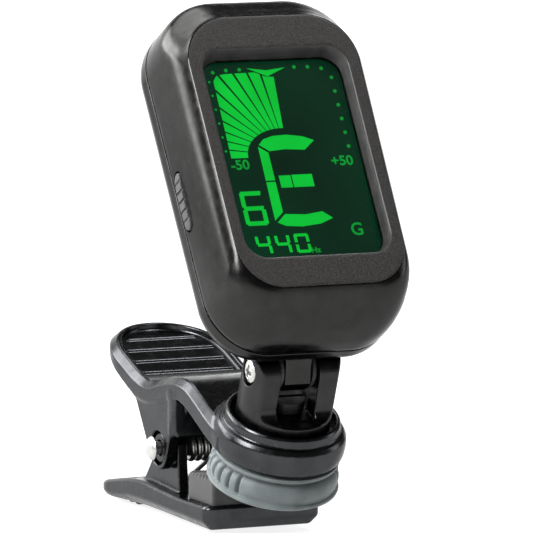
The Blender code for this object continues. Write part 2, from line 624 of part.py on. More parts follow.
def make_battery(head):
    centre = (0.0, BATTERY_Z)
    cell = head.rod("cell_can", BATTERY_R, BATTERY_Y, "Y", centre, 40)
    head.finish(cell, "coin_battery", "bright_steel")
    holder = head.tube("holder_ring", BATTERY_R + GAP, 10.9, (-10.3, -6.9), "Y", centre, 40)
    cut(holder, head.box("holder_gap", (8.0, -12, BATTERY_Z - 3.0), (14.0, -5, BATTERY_Z + 3.0)))
    head.finish(holder, "battery_holder", "casing_black")
    strip = head.box("strip", (-3.0, -10.25, BATTERY_Z - 1.5), (3.0, -9.8, BATTERY_Z + 1.5))
    head.finish(strip, "negative_contact", "brass")
    spring = head.box("side_strip", (10.4, -10.3, BATTERY_Z - 2.4), (10.8, -6.6, BATTERY_Z + 2.4))
    foot = head.box("side_foot", (10.6, -10.3, BATTERY_Z - 2.0), (11.8, -9.8, BATTERY_Z + 2.0))
    head.finish(add(spring, foot), "positive_contact", "brass")


clear_scene()
TUNER = new_collection("clip_on_tuner")
HELPERS = new_collection("cutters", hidden=True)

CLIP_MATRIX = Matrix.Translation((0, -GRIP_Y * MM, -GRIP_Z * MM))
PIN_MATRIX = CLIP_MATRIX @ Matrix.Translation((0, PIN_Y * MM, PIN_Z * MM))
SWIVEL_MATRIX = CLIP_MATRIX @ Matrix.Translation((0, 0, BOSS_Z * MM)) @ Matrix.Rotation(BOSS_PITCH, 4, "X")
HEAD_MATRIX = SWIVEL_MATRIX @ Matrix.Translation((0, 0, TILT_AXIS_Z * MM)) @ Matrix.Rotation(-HEAD_LEAN, 4, "X")

clip_axis = new_axis("clip_origin", CLIP_MATRIX)
jaw_axis = new_axis("jaw_pin_axis", PIN_MATRIX, clip_axis)
swivel_axis = new_axis("swivel_axis", SWIVEL_MATRIX, clip_axis)
tilt_axis = new_axis("tilt_axis", HEAD_MATRIX, swivel_axis)

CLIP = Frame(CLIP_MATRIX, clip_axis)
LOWER = Frame(CLIP_MATRIX, jaw_axis)
FIXED_BOSS = Frame(SWIVEL_MATRIX, clip_axis)
SWIVEL = Frame(SWIVEL_MATRIX, swivel_axis)
HEAD = Frame(HEAD_MATRIX, tilt_axis)

make_upper_jaw(CLIP, FIXED_BOSS)
make_lower_jaw(LOWER)
make_pin(CLIP)
make_spring(CLIP)
make_yoke(SWIVEL)
make_hinge_fixings(SWIVEL)
make_swivel_fixings(SWIVEL)
make_front_casing(HEAD)
make_rear_cover(HEAD)
make_case_screws(HEAD)
make_battery_door(HEAD)
make_power_button(HEAD)
make_display(HEAD)
make_board(HEAD)
make_battery(HEAD)
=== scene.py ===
"""Looks of the clip-on tuner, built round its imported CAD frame. Shapes are in millimetres in local frames."""

import json
import math

import bmesh
import bpy
import numpy as np
from mathutils import Matrix, Vector


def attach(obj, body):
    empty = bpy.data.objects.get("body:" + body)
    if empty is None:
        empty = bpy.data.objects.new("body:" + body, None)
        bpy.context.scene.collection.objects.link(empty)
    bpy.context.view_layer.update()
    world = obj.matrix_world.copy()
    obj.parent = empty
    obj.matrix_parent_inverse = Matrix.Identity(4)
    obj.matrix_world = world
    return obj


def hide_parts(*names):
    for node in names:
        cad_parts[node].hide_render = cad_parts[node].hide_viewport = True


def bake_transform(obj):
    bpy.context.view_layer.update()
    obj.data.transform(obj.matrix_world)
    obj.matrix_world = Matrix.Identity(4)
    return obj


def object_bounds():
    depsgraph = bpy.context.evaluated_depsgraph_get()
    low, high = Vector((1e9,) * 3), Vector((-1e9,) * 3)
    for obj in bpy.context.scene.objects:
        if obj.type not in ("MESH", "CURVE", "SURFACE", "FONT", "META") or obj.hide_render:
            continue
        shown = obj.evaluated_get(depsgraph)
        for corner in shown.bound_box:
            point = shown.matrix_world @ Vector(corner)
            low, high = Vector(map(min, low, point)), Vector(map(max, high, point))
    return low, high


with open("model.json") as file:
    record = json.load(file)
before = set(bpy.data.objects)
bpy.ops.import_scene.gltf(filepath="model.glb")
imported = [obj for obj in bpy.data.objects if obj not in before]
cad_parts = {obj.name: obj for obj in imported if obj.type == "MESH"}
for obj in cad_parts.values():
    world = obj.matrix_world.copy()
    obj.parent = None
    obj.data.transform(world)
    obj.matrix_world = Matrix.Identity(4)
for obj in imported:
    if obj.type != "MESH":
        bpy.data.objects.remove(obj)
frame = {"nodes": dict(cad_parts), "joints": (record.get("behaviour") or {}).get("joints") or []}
CAD_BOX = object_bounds()
MM = 0.001

# ---- where things are


def joint(name):
    """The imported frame's row for a joint."""
    return next(j for j in frame["joints"] if j["name"] == name)


def axes_at(origin, x_axis, z_axis):
    """A frame in millimetres: its origin and its three axes as the columns of a matrix."""
    x = np.array(x_axis, float)
    z = np.array(z_axis, float)
    z /= np.linalg.norm(z)
    y = np.cross(z, x)
    return np.array(origin, float), np.stack([x, y, z], axis=1)


PIN_Y, PIN_Z = 22.5, 9.4
X_AXIS = (1.0, 0.0, 0.0)
pin_at = np.array(joint("jaw_open")["pos_m"]) / MM
CLIP = axes_at(pin_at - (0.0, PIN_Y, PIN_Z), X_AXIS, (0.0, 0.0, 1.0))
SWIVEL = axes_at(np.array(joint("head_swivel")["pos_m"]) / MM, X_AXIS, joint("head_swivel")["axis"])
head_back = np.array(joint("battery_door_twist")["axis"])
HEAD = axes_at(np.array(joint("head_tilt")["pos_m"]) / MM, X_AXIS, np.cross(X_AXIS, head_back))


def to_world(place, points):
    """Points of a local frame in millimetres, as metres in the row frame."""
    origin, turn = place
    return (points @ turn.T + origin) * MM


def into(place, other, x, y, z):
    """Coordinates of one frame written in another."""
    turn = other[1].T @ place[1]
    shift = other[1].T @ (place[0] - other[0])
    return [turn[i, 0] * x + turn[i, 1] * y + turn[i, 2] * z + shift[i] for i in range(3)]


# ---- distance fields


def round_max(a, b, radius):
    """The intersection of two fields, with its edge rounded."""
    if radius <= 0:
        return np.maximum(a, b)
    u = np.maximum(a + radius, 0)
    v = np.maximum(b + radius, 0)
    return np.sqrt(u * u + v * v) + np.minimum(np.maximum(a + radius, b + radius), 0) - radius


def round_min(a, b, radius):
    """The union of two fields, with a fillet between them."""
    return -round_max(-a, -b, radius)


def chamfer_max(a, b, width, radius):
    """The intersection of two fields, with its edge chamfered."""
    slope = (a + b + width) * math.sqrt(0.5)
    return round_max(round_max(a, slope, radius), round_max(b, slope, radius), radius)


def slab(value, low, high):
    """The layer between two values."""
    return np.maximum(low - value, value - high)


def rounded_box(u, v, half_u, half_v, radius):
    a = np.abs(u) - (half_u - radius)
    b = np.abs(v) - (half_v - radius)
    return np.hypot(np.maximum(a, 0), np.maximum(b, 0)) + np.minimum(np.maximum(a, b), 0) - radius


def disc(u, v, centre, radius):
    """A round column about a centre."""
    return np.hypot(u - centre[0], v - centre[1]) - radius


def smooth_line(points, steps=16):
    """Stations joined by a smooth curve: a function of the first value, for each other value."""
    table = np.array(points, float)
    at, values = table[:, 0], table[:, 1:]
    slope = np.gradient(values, at, axis=0)
    dense_at, dense = [], []
    for i in range(len(at) - 1):
        t = np.linspace(0, 1, steps, endpoint=False)[:, None]
        span = at[i + 1] - at[i]
        near = (1 + 2 * t) * (1 - t) ** 2 * values[i] + t * (1 - t) ** 2 * span * slope[i]
        far = t * t * (3 - 2 * t) * values[i + 1] + t * t * (t - 1) * span * slope[i + 1]
        dense_at.append(at[i] + t[:, 0] * span)
        dense.append(near + far)
    dense_at.append(at[-1:])
    dense.append(values[-1:])
    dense_at, dense = np.concatenate(dense_at), np.concatenate(dense)
    return lambda where, column: np.interp(where, dense_at, dense[:, column])


def outline_field(outline, pitch=0.06, margin=6.0):
    """A signed distance to a closed outline, looked up from a table of it."""
    points = np.array(outline, float)
    low = points.min(0) - margin
    counts = np.ceil((points.max(0) + margin - low) / pitch).astype(int) + 1
    u = low[0] + pitch * np.arange(counts[0])[:, None]
    v = low[1] + pitch * np.arange(counts[1])[None, :]
    nearest = np.full(counts, 1e9)
    inside = np.zeros(counts, bool)
    for (u0, v0), (u1, v1) in zip(points, np.roll(points, -1, axis=0)):
        du, dv = u1 - u0, v1 - v0
        share = np.clip(((u - u0) * du + (v - v0) * dv) / (du * du + dv * dv), 0, 1)
        nearest = np.minimum(nearest, (u - u0 - share * du) ** 2 + (v - v0 - share * dv) ** 2)
        crosses = (v0 > v) != (v1 > v)
        if dv:
            inside ^= crosses & (u < u0 + (v - v0) * du / dv)
    table = np.sqrt(nearest) * np.where(inside, -1, 1)

    def field(a, b):
        i = np.clip((a - low[0]) / pitch, 0, counts[0] - 1.001)
        j = np.clip((b - low[1]) / pitch, 0, counts[1] - 1.001)
        i0, j0 = i.astype(int), j.astype(int)
        p, q = i - i0, j - j0
        near = table[i0, j0] * (1 - p) + table[i0 + 1, j0] * p
        far = table[i0, j0 + 1] * (1 - p) + table[i0 + 1, j0 + 1] * p
        return near * (1 - q) + far * q

    return field


def cut_corners(outline, rounds=2, share=0.2):
    """The outline with its corners cut, round after round, which rounds them."""
    points = np.array(outline, float)
    for _ in range(rounds):
        following = np.roll(points, -1, axis=0)
        near = points + (following - points) * share
        far = points + (following - points) * (1 - share)
        points = np.stack([near, far], axis=1).reshape(-1, 2)
    return points


def arc(centre, radius, start, end, steps=12):
    """Points along an arc, its angles in degrees."""
    turns = np.radians(np.linspace(start, end, steps + 1))
    return [(centre[0] + radius * math.cos(t), centre[1] + radius * math.sin(t)) for t in turns]


# ---- meshes

CORNERS = np.array([(i, j, k) for i in (0, 1) for j in (0, 1) for k in (0, 1)])
CELL_EDGES = [(a, b) for a in range(8) for b in range(a + 1, 8) if np.abs(CORNERS[a] - CORNERS[b]).sum() == 1]


def gradient(field, points, step):
    """The field's slope at each point, by differences."""
    grad = np.empty_like(points)
    for axis in range(3):
        ahead, behind = points.copy(), points.copy()
        ahead[:, axis] += step
        behind[:, axis] -= step
        grad[:, axis] = (field(*ahead.T) - field(*behind.T)) / (2 * step)
    return grad


def onto_surface(field, points, pitch, rounds=3):
    """The points moved to where the field is zero."""
    for _ in range(rounds):
        grad = gradient(field, points, pitch * 0.05)
        size = np.maximum((grad**2).sum(1), 0.1)
        move = -(field(*points.T) / size)[:, None] * grad
        length = np.linalg.norm(move, axis=1, keepdims=True)
        points = points + move * np.minimum(1, 0.5 * pitch / np.maximum(length, 1e-9))
    return points


def surface_net(field, low, high, pitch):
    """Points and four-sided faces where the field is zero: one point for each cell that it crosses."""
    spans = [np.arange(a - 2 * pitch, b + 2 * pitch, pitch) for a, b in zip(low, high)]
    grid = np.meshgrid(*spans, indexing="ij", sparse=True)
    counts = [len(s) for s in spans]
    values = np.broadcast_to(field(*grid), counts)
    inside = values < 0
    nx, ny, nz = [c - 1 for c in counts]
    blocks = [inside[i : nx + i, j : ny + j, k : nz + k] for i, j, k in CORNERS]
    total = sum(b.astype(np.int8) for b in blocks)
    cells = np.argwhere((total > 0) & (total < 8))
    number = np.full((nx, ny, nz), -1, np.int64)
    number[tuple(cells.T)] = np.arange(len(cells))
    corner = np.stack([values[tuple((cells + c).T)] for c in CORNERS], axis=1)
    place, crossings = np.zeros((len(cells), 3)), np.zeros(len(cells))
    for a, b in CELL_EDGES:
        crossed = (corner[:, a] < 0) != (corner[:, b] < 0)
        share = corner[crossed, a] / (corner[crossed, a] - corner[crossed, b])
        place[crossed] += CORNERS[a] + share[:, None] * (CORNERS[b] - CORNERS[a])
        crossings[crossed] += 1
    origin = np.array([s[0] for s in spans])
    points = origin + (cells + place / crossings[:, None]) * pitch
    faces = []
    for axis in range(3):
        u, v = (axis + 1) % 3, (axis + 2) % 3
        ahead = [slice(1, None) if a == axis else slice(None) for a in range(3)]
        behind = [slice(None, -1) if a == axis else slice(None) for a in range(3)]
        first, second = inside[tuple(behind)], inside[tuple(ahead)]
        edges = np.argwhere(first != second)
        du, dv = np.zeros(3, int), np.zeros(3, int)
        du[u] = dv[v] = 1
        around = np.stack([number[tuple((edges + s).T)] for s in (0 * du, -du, -du - dv, -dv)], axis=1)
        outward = first[tuple(edges.T)]
        faces.append(np.where(outward[:, None], around[:, ::-1], around))
    return onto_surface(field, points, pitch), np.concatenate(faces)[:, ::-1]


def mesh_from(name, points, faces):
    mesh = bpy.data.meshes.new(name)
    mesh.from_pydata(points.tolist(), [], faces.tolist() if hasattr(faces, "tolist") else faces)
    mesh.validate()
    return mesh


def linked(name, data):
    made = bpy.data.objects.new(name, data)
    bpy.context.scene.collection.objects.link(made)
    return made


def evaluated(made, kind=None, **settings):
    """The mesh of an object as shown, or as one more modifier would leave it."""
    step = made.modifiers.new("step", kind) if kind else None
    for key, value in settings.items():
        setattr(step, key, value)
    graph = bpy.context.evaluated_depsgraph_get()
    mesh = bpy.data.meshes.new_from_object(made.evaluated_get(graph), depsgraph=graph)
    if step:
        made.modifiers.remove(step)
    return mesh


def mesh_of(curve):
    """The mesh of a curve or of a text."""
    helper = linked(curve.name, curve)
    mesh = evaluated(helper)
    bpy.data.objects.remove(helper)
    return mesh


def thinned(mesh, keep):
    """The mesh with fewer faces where it is flat."""
    helper = linked("thinning", mesh)
    thin = evaluated(helper, "DECIMATE", ratio=keep)
    bpy.data.objects.remove(helper)
    return thin


def shaped(name, place, field, low, high, pitch, keep=0.4):
    """A smooth-shaded piece from a distance field, in the row frame."""
    points, faces = surface_net(field, low, high, pitch)
    mesh = thinned(mesh_from(name, points, faces), keep)
    flat = np.empty(len(mesh.vertices) * 3)
    mesh.vertices.foreach_get("co", flat)
    points = onto_surface(field, flat.reshape(-1, 3), pitch, 2)
    normals = gradient(field, points, pitch * 0.1)
    normals /= np.maximum(np.linalg.norm(normals, axis=1, keepdims=True), 1e-9)
    mesh.vertices.foreach_set("co", to_world(place, points).ravel())
    mesh.update()
    mesh.shade_smooth()
    mesh.normals_split_custom_set_from_vertices((normals @ place[1].T).tolist())
    return linked(name, mesh)


def ringed(name, place, rings, closed=True, capped=False, sharp=30):
    """A piece from rings of points that all have the same count, joined in order."""
    rings = [np.array(r, float) for r in rings]
    count = len(rings[0])
    points = np.concatenate(rings)
    faces = []
    last = len(rings) if closed else len(rings) - 1
    for r in range(last):
        near, far = r * count, ((r + 1) % len(rings)) * count
        for i in range(count):
            j = (i + 1) % count
            faces.append((near + i, near + j, far + j, far + i))
    if capped:
        faces.append(tuple(range(count))[::-1])
        faces.append(tuple((len(rings) - 1) * count + i for i in range(count)))
    made = linked(name, mesh_from(name, to_world(place, points), faces))
    face_out(made)
    made.data.shade_smooth()
    made.data.set_sharp_from_angle(angle=math.radians(sharp))
    return made


def face_out(made):
    """Joins doubled points and turns every face outwards."""
    shape = bmesh.new()
    shape.from_mesh(made.data)
    bmesh.ops.remove_doubles(shape, verts=shape.verts, dist=1e-7)
    bmesh.ops.recalc_face_normals(shape, faces=shape.faces)
    shape.to_mesh(made.data)
    shape.free()


def turned(name, place, profile, steps=96, bumps=None, axis="Z", centre=(0.0, 0.0)):
    """A closed profile of (radius, height) turned about an axis; bumps(angle, index) adds to a radius."""
    turns = np.linspace(0, 2 * np.pi, steps, endpoint=False)
    rings = []
    for i, (radius, height) in enumerate(profile):
        radii = np.full(steps, max(radius, 0.001))
        if bumps is not None:
            radii = radii + bumps(turns, i)
        u, v, w = radii * np.cos(turns), radii * np.sin(turns), np.full(steps, height)
        if axis == "Z":
            rings.append(np.stack([u, v, w], axis=1))
        else:
            rings.append(np.stack([w, u + centre[0], v + centre[1]], axis=1))
    return ringed(name, place, rings)


# ---- materials


class Paint:
    """A Principled material whose colour, roughness and bump come from nodes, in millimetres."""

    def __init__(self, name, colour, roughness, **values):
        self.material = bpy.data.materials.new(name)
        self.material.use_nodes = True
        self.nodes = self.material.node_tree.nodes
        self.links = self.material.node_tree.links
        self.shader = self.nodes["Principled BSDF"]
        self.fill(self.shader, Base_Color=(*colour, 1.0), Roughness=roughness, **values)
        where = self.nodes.new("ShaderNodeTexCoord").outputs["Object"]
        scale = self.node("Mapping", Scale=(1 / MM, 1 / MM, 1 / MM), Vector=where)
        self.where = scale.outputs["Vector"]

    def fill(self, node, **inputs):
        """Sets or links a node's inputs; in their names an underscore stands for a space."""
        for key, value in inputs.items():
            socket = node.inputs[key.replace("_", " ")]
            if isinstance(value, bpy.types.NodeSocket):
                self.links.new(value, socket)
            else:
                socket.default_value = value
        return node

    def node(self, kind, **inputs):
        return self.fill(self.nodes.new("ShaderNode" + kind), **inputs)

    def noise(self, per_mm, detail=3.0, rough=0.5, stretch=None):
        where = self.where
        if stretch is not None:
            where = self.node("Mapping", Scale=stretch, Vector=where).outputs["Vector"]
        made = self.node("TexNoise", Scale=per_mm, Detail=detail, Roughness=rough, Vector=where)
        return made.outputs["Fac"]

    def spread(self, value, low, high, start=0.3, end=0.7):
        made = self.node("MapRange", From_Min=start, From_Max=end, To_Min=low, To_Max=high, Value=value)
        return made.outputs["Result"]

    def colours(self, value, dark, light, start=0.35, end=0.65):
        made = self.node("ValToRGB", Fac=value)
        for stop, place, colour in zip(made.color_ramp.elements, (start, end), (dark, light)):
            stop.position = place
            stop.color = (*colour, 1.0)
        return made.outputs["Color"]

    def worn(self, tone, colour):
        """The tone, lighter along the piece's edges."""
        shape = self.nodes.new("ShaderNodeNewGeometry").outputs["Pointiness"]
        made = self.nodes.new("ShaderNodeMix")
        made.data_type = "RGBA"
        self.fill(made, Factor=self.spread(shape, 0.0, 1.0, 0.56, 0.75), A=tone, B=(*colour, 1.0))
        return made.outputs["Result"]

    def use(self, **sockets):
        self.fill(self.shader, **sockets)

    def bump(self, *layers):
        """Layers are (value, strength, height in millimetres)."""
        below = {}
        for value, strength, height in layers:
            made = self.node("Bump", Strength=strength, Distance=height * MM, Height=value, **below)
            below = {"Normal": made.outputs["Normal"]}
        self.fill(self.shader, **below)


def plastic(name, dark, light, roughness, grain, per_mm, wear):
    """Moulded black plastic, with a gloss that stays even towards its outline."""
    paint = Paint(name, dark, roughness, Metallic=1.0, Specular_Tint=(0.7, 0.7, 0.7, 1.0))
    mottle = paint.noise(0.35, 4.0)
    fine = paint.noise(per_mm, 2.0)
    tone = paint.colours(mottle, dark, light)
    gloss = paint.spread(paint.noise(0.8, 4.0), roughness - 0.05, roughness + 0.06)
    paint.use(Base_Color=paint.worn(tone, wear), Roughness=gloss)
    paint.bump((fine, grain, 0.02), (mottle, 0.08, 0.05))
    return paint.material


def face_plastic():
    """The front's fine moulded grain."""
    paint = Paint("face_texture", (0.04, 0.036, 0.034), 0.5, Specular_IOR_Level=0.4)
    grain = paint.noise(5.5, 4.0, 0.7)
    coarse = paint.noise(2.6, 2.0)
    tone = paint.colours(grain, (0.005, 0.0045, 0.0043), (0.04, 0.0365, 0.0352), 0.4, 0.64)
    paint.use(Base_Color=tone, Roughness=paint.spread(grain, 0.42, 0.62))
    paint.bump((grain, 0.8, 0.05), (coarse, 0.3, 0.04))
    return paint.material


def rubber(name, dark, light, roughness, sheen):
    """Rubber, or any other matt moulding that isn't a metal."""
    paint = Paint(name, dark, roughness, Specular_IOR_Level=0.35, Sheen_Weight=sheen, Sheen_Roughness=0.5)
    mottle = paint.noise(0.5, 5.0)
    fine = paint.noise(9.0, 3.0)
    gloss = paint.spread(mottle, roughness - 0.06, roughness + 0.06)
    paint.use(Base_Color=paint.colours(mottle, dark, light), Roughness=gloss)
    paint.bump((fine, 0.25, 0.02))
    return paint.material


def metal(name, colour, roughness, stretch, scratch):
    """Metal with fine scratches that run across the stretched direction."""
    paint = Paint(name, colour, roughness, Metallic=1.0)
    brushed = paint.noise(5.0, 3.0, 0.6, stretch)
    dull = tuple(0.8 * c for c in colour)
    tone = paint.colours(paint.noise(1.1, 4.0), dull, colour)
    paint.use(Base_Color=tone, Roughness=paint.spread(brushed, roughness - 0.07, roughness + 0.1))
    paint.bump((brushed, scratch, 0.01))
    return paint.material


def glowing(name, colour, dim):
    """Lit ink on the display."""
    paint = Paint(name, tuple(0.4 * c for c in colour), 0.35, Emission_Strength=1.0)
    paint.use(Emission_Color=paint.colours(paint.noise(0.16, 2.0), dim, colour))
    return paint.material


def lens_glass():
    """Clear acrylic: it reflects like a polished sheet and lets everything through, with faint hairlines."""
    paint = Paint("lens_clear", (0.9, 0.95, 0.92), 0.06)
    hairs = paint.noise(2.0, 4.0, 0.6, (6.0, 1.0, 1.0))
    scratch = paint.node("Bump", Strength=0.02, Distance=0.01 * MM, Height=hairs)
    clear = paint.node("BsdfTransparent", Color=(0.93, 0.96, 0.94, 1.0))
    shine = paint.node("BsdfGlossy", Roughness=0.08, Normal=scratch.outputs["Normal"])
    both = paint.node("MixShader", Fac=paint.node("Fresnel", IOR=1.35).outputs["Fac"])
    paint.links.new(clear.outputs["BSDF"], both.inputs[1])
    paint.links.new(shine.outputs["BSDF"], both.inputs[2])
    output = next(n for n in paint.nodes if n.type == "OUTPUT_MATERIAL")
    paint.fill(output, Surface=both.outputs["Shader"])
    paint.nodes.remove(paint.shader)
    return paint.material


def lcd_glass():
    """The display's dark ground, with a faint green light through it."""
    paint = Paint("lcd_dark_glass", (0.002, 0.012, 0.006), 0.3, Specular_IOR_Level=0.3, Emission_Strength=1.0)
    glow = paint.colours(paint.noise(0.06, 1.0), (0.0, 0.014, 0.006), (0.0, 0.034, 0.013), 0.3, 0.75)
    paint.use(Emission_Color=glow, Roughness=paint.spread(paint.noise(0.5, 2.0), 0.26, 0.34))
    return paint.material


def grey(value):
    return (value, value, value)


BRUSHED = (1.0, 4.0, 1.0)
M = {
    "casing": plastic(
        "casing_satin", (0.027, 0.027, 0.0262), (0.033, 0.0325, 0.032), 0.23, 0.1, 4.0, grey(0.04)
    ),
    "face": face_plastic(),
    "recess": rubber("recess_satin", grey(0.024), (0.036, 0.036, 0.035), 0.4, 0.0),
    "clip": plastic(
        "clip_gloss", (0.036, 0.0373, 0.0395), (0.045, 0.0463, 0.0485), 0.24, 0.05, 4.0, (0.06, 0.06, 0.062)
    ),
    "yoke": plastic("yoke_satin", (0.028, 0.028, 0.029), (0.035, 0.035, 0.036), 0.3, 0.09, 5.0, grey(0.05)),
    "pad": rubber("grey_rubber_skin", (0.082, 0.097, 0.098), (0.11, 0.129, 0.13), 0.5, 0.1),
    "block": rubber("black_rubber_skin", grey(0.014), grey(0.03), 0.6, 0.1),
    "steel": metal("nickel_steel", (0.5, 0.495, 0.48), 0.3, (1.0, 6.0, 1.0), 0.2),
    "oxide": metal("black_oxide", (0.055, 0.055, 0.06), 0.35, BRUSHED, 0.2),
    "brass": metal("brass_sheet", (0.62, 0.45, 0.17), 0.35, BRUSHED, 0.2),
    # painted shade: the washers' nylon is coloured dark to stand in for the shade they sit in between the parts
    "nylon": rubber("nylon_painted_shade", grey(0.02), grey(0.035), 0.5, 0.0),
    "board": rubber("solder_mask", (0.01, 0.12, 0.045), (0.02, 0.17, 0.06), 0.4, 0.0),
    "tray": rubber("diffuser_white", (0.7, 0.7, 0.68), (0.8, 0.8, 0.78), 0.5, 0.0),
    "lit": glowing("segments_lit", (0.0, 0.60, 0.045), (0.0, 0.52, 0.035)),
    "dim": glowing("segments_dim", (0.0, 0.36, 0.035), (0.0, 0.28, 0.026)),
    "lens": lens_glass(),
    "lcd": lcd_glass(),
}


def ready(made, body, slot_name, *materials, replaces=()):
    """Gives a piece its materials and its body, and hides the CAD nodes that it stands for; slot_name is not
    used.
    """
    made.data.materials.clear()
    for name in materials:
        made.data.materials.append(M[name])
    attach(made, body)
    if replaces:
        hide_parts(*replaces)


# ---- the clip's upper jaw

JAW_HALF, JAW_END, JAW_END_R = 9.2, 47.1, 11.0
# these keep the fields true distances where the jaw's sides and faces slope
SIDE_SLOPE, FACE_SLOPE, LOWER_SLOPE = 0.96, 0.94, 0.98
THUMB_RIM, THUMB_START, THUMB_DEPTH = 1.55, 29.6, 0.95
RIDGES, RIDGE_START, RIDGE_PITCH = 4, 32.2, 3.2
RIDGE_R, RIDGE_SINK, RIDGE_INSET = 0.36, 1.06, 2.1
# stations along the jaw: y, the underside's height, the top's height
UPPER_LINE = smooth_line((
    (1.0, 11.5, 14.9), (6.0, 13.4, 16.9), (9.5, 15.0, 18.5), (12.5, 16.3, 19.7), (15.5, 17.0, 20.1),
    (18.5, 16.8, 19.9), (22.5, 15.9, 19.1), (26.5, 15.4, 18.3), (30.0, 15.7, 18.8), (34.5, 17.3, 20.3),
    (38.5, 19.1, 21.7), (41.5, 20.4, 22.7), (44.0, 21.3, 23.3), (46.0, 21.9, 23.7), (47.5, 22.3, 23.9),
))
BOSS_FLOOR_TOP, BOSS_FLOOR_LOW, BOSS_LOW = -2.4, -4.0, -5.55
POCKET_R, NUT_POCKET_R, SWIVEL_BORE_R, BOSS_INSIDE, LEVER_START = 7.2, 3.4, 1.65, 7.6, 0.2
BOSS_FIELD = outline_field(cut_corners((
    (7.75, 0.0), (8.0, -0.35), (8.05, -1.35), (8.6, -1.55), (9.0, -2.1), (9.15, -3.0), (9.1, -4.4),
    (8.7, BOSS_LOW), (NUT_POCKET_R, BOSS_LOW), (NUT_POCKET_R, BOSS_FLOOR_LOW),
    (SWIVEL_BORE_R, BOSS_FLOOR_LOW), (SWIVEL_BORE_R, BOSS_FLOOR_TOP),
    (POCKET_R, BOSS_FLOOR_TOP), (POCKET_R, -0.35), (7.4, 0.0),
)))
EAR_IN, EAR_OUT, EAR_HOLE_R, EAR_HOLE_IN = 7.4, 8.9, 2.4, 5.0
WEB_FRONT, WEB_REAR, WEB_Z, WEB_HALF_Z = 16.9, 18.4, 15.0, 3.6
EAR_FIELD = outline_field(
    [(15.8, 17.9)] + arc((PIN_Y, PIN_Z), 3.0, 200, 340) + [(31.2, 16.7)]
)


def plan_end(x, y, half, end, radius):
    """How far outside a strip with a rounded far end a point is."""
    a = np.abs(x) - (half - radius)
    b = y - (end - radius)
    return np.hypot(np.maximum(a, 0), np.maximum(b, 0)) + np.minimum(np.maximum(a, b), 0) - radius


def upper_jaw_field(x, y, z):
    top, low = UPPER_LINE(y, 1), UPPER_LINE(y, 0)
    along = np.maximum(y - (JAW_END - JAW_END_R), 0) * (JAW_HALF / JAW_END_R)
    plan = (np.hypot(x, along) - JAW_HALF) * SIDE_SLOPE
    above, below = (z - top) * FACE_SLOPE, (low - z) * FACE_SLOPE
    lever = chamfer_max(round_max(plan, below, 0.35), above, 0.95, 0.16)
    rim = np.maximum(plan + THUMB_RIM, THUMB_START - y)
    floor = (top - THUMB_DEPTH - z) * FACE_SLOPE
    lever = round_max(lever, -round_max(rim, floor, 0.3), 0.14)
    for i in range(RIDGES):
        ridge_y = RIDGE_START + RIDGE_PITCH * i
        across = np.hypot(y - ridge_y, z - UPPER_LINE(ridge_y, 1) + RIDGE_SINK)
        ridge = round_max(across - RIDGE_R, plan + RIDGE_INSET, 0.3)
        lever = round_min(lever, ridge, 0.2)
    sx, sy, sz = into(CLIP, SWIVEL, x, y, z)
    radius = np.hypot(sx, sy)
    lever = np.maximum(np.maximum(lever, BOSS_INSIDE - radius), LEVER_START - sy)
    ear = round_max(EAR_FIELD(y, z), slab(np.abs(x), EAR_IN, EAR_OUT), 0.18)
    web = round_max(slab(y, WEB_FRONT, WEB_REAR), rounded_box(x, z - WEB_Z, EAR_OUT, WEB_HALF_Z, 1.3), 0.5)
    body = round_min(lever, ear, 0.5)
    body = round_min(body, web, 0.8)
    body = round_min(body, BOSS_FIELD(radius, sz), 0.45)
    body = round_max(body, -np.maximum(radius - POCKET_R, BOSS_FLOOR_TOP - sz), 0.1)
    hole = np.hypot(y - PIN_Y, z - PIN_Z) - EAR_HOLE_R
    hole = np.maximum(hole, EAR_HOLE_IN - np.abs(x))
    return round_max(body, -hole, 0.22)


ready(
    shaped("upper_jaw_shell", CLIP, upper_jaw_field, (-9.4, -9.4, 6.2), (9.4, 47.4, 24.2), 0.16, 0.4),
    "upper_clip", "clip_black", "clip", replaces=["upper_jaw"],
)

# ---- the grey pad under the boss

PAD_PROFILE = (
    (8.6, -5.85), (8.66, -6.1), (8.5, -6.4), (7.9, -6.62), (7.8, -6.75), (7.9, -6.9), (8.3, -7.05),
    (8.7, -7.4), (8.88, -7.9), (8.95, -8.5), (8.9, -9.0), (8.75, -9.4), (8.8, -9.6), (9.05, -9.75),
    (9.15, -9.95), (9.08, -10.2), (8.8, -10.4), (6.0, -10.4), (5.8, -10.2), (5.2, -10.2), (5.0, -10.4),
    (0.0, -10.4), (0.0, -6.9), (3.7, -6.9), (3.7, -5.9), (8.3, -5.85),
)
GROOVES = np.radians(212.0 - 11.6 * np.arange(22))
GROOVE_LOW, GROOVE_HIGH, GROOVE_DEPTH, GROOVE_TURN = -9.6, -6.9, 0.62, math.radians(1.7)


def pad_grooves(turns, index):
    """Upright grooves in the pad's wall, over its rear half."""
    radius, height = PAD_PROFILE[index]
    if not GROOVE_LOW < height < GROOVE_HIGH or radius < 8:
        return 0 * turns
    away = np.abs((turns[:, None] - GROOVES[None, :] + np.pi) % (2 * np.pi) - np.pi).min(1)
    return -GROOVE_DEPTH * np.exp(-((away / GROOVE_TURN) ** 2))


ready(
    turned("grip_pad_upper", SWIVEL, PAD_PROFILE, 540, pad_grooves),
    "upper_clip", "grey_rubber", "pad", replaces=["upper_pad"],
)

# ---- the clip's lower jaw and its pad

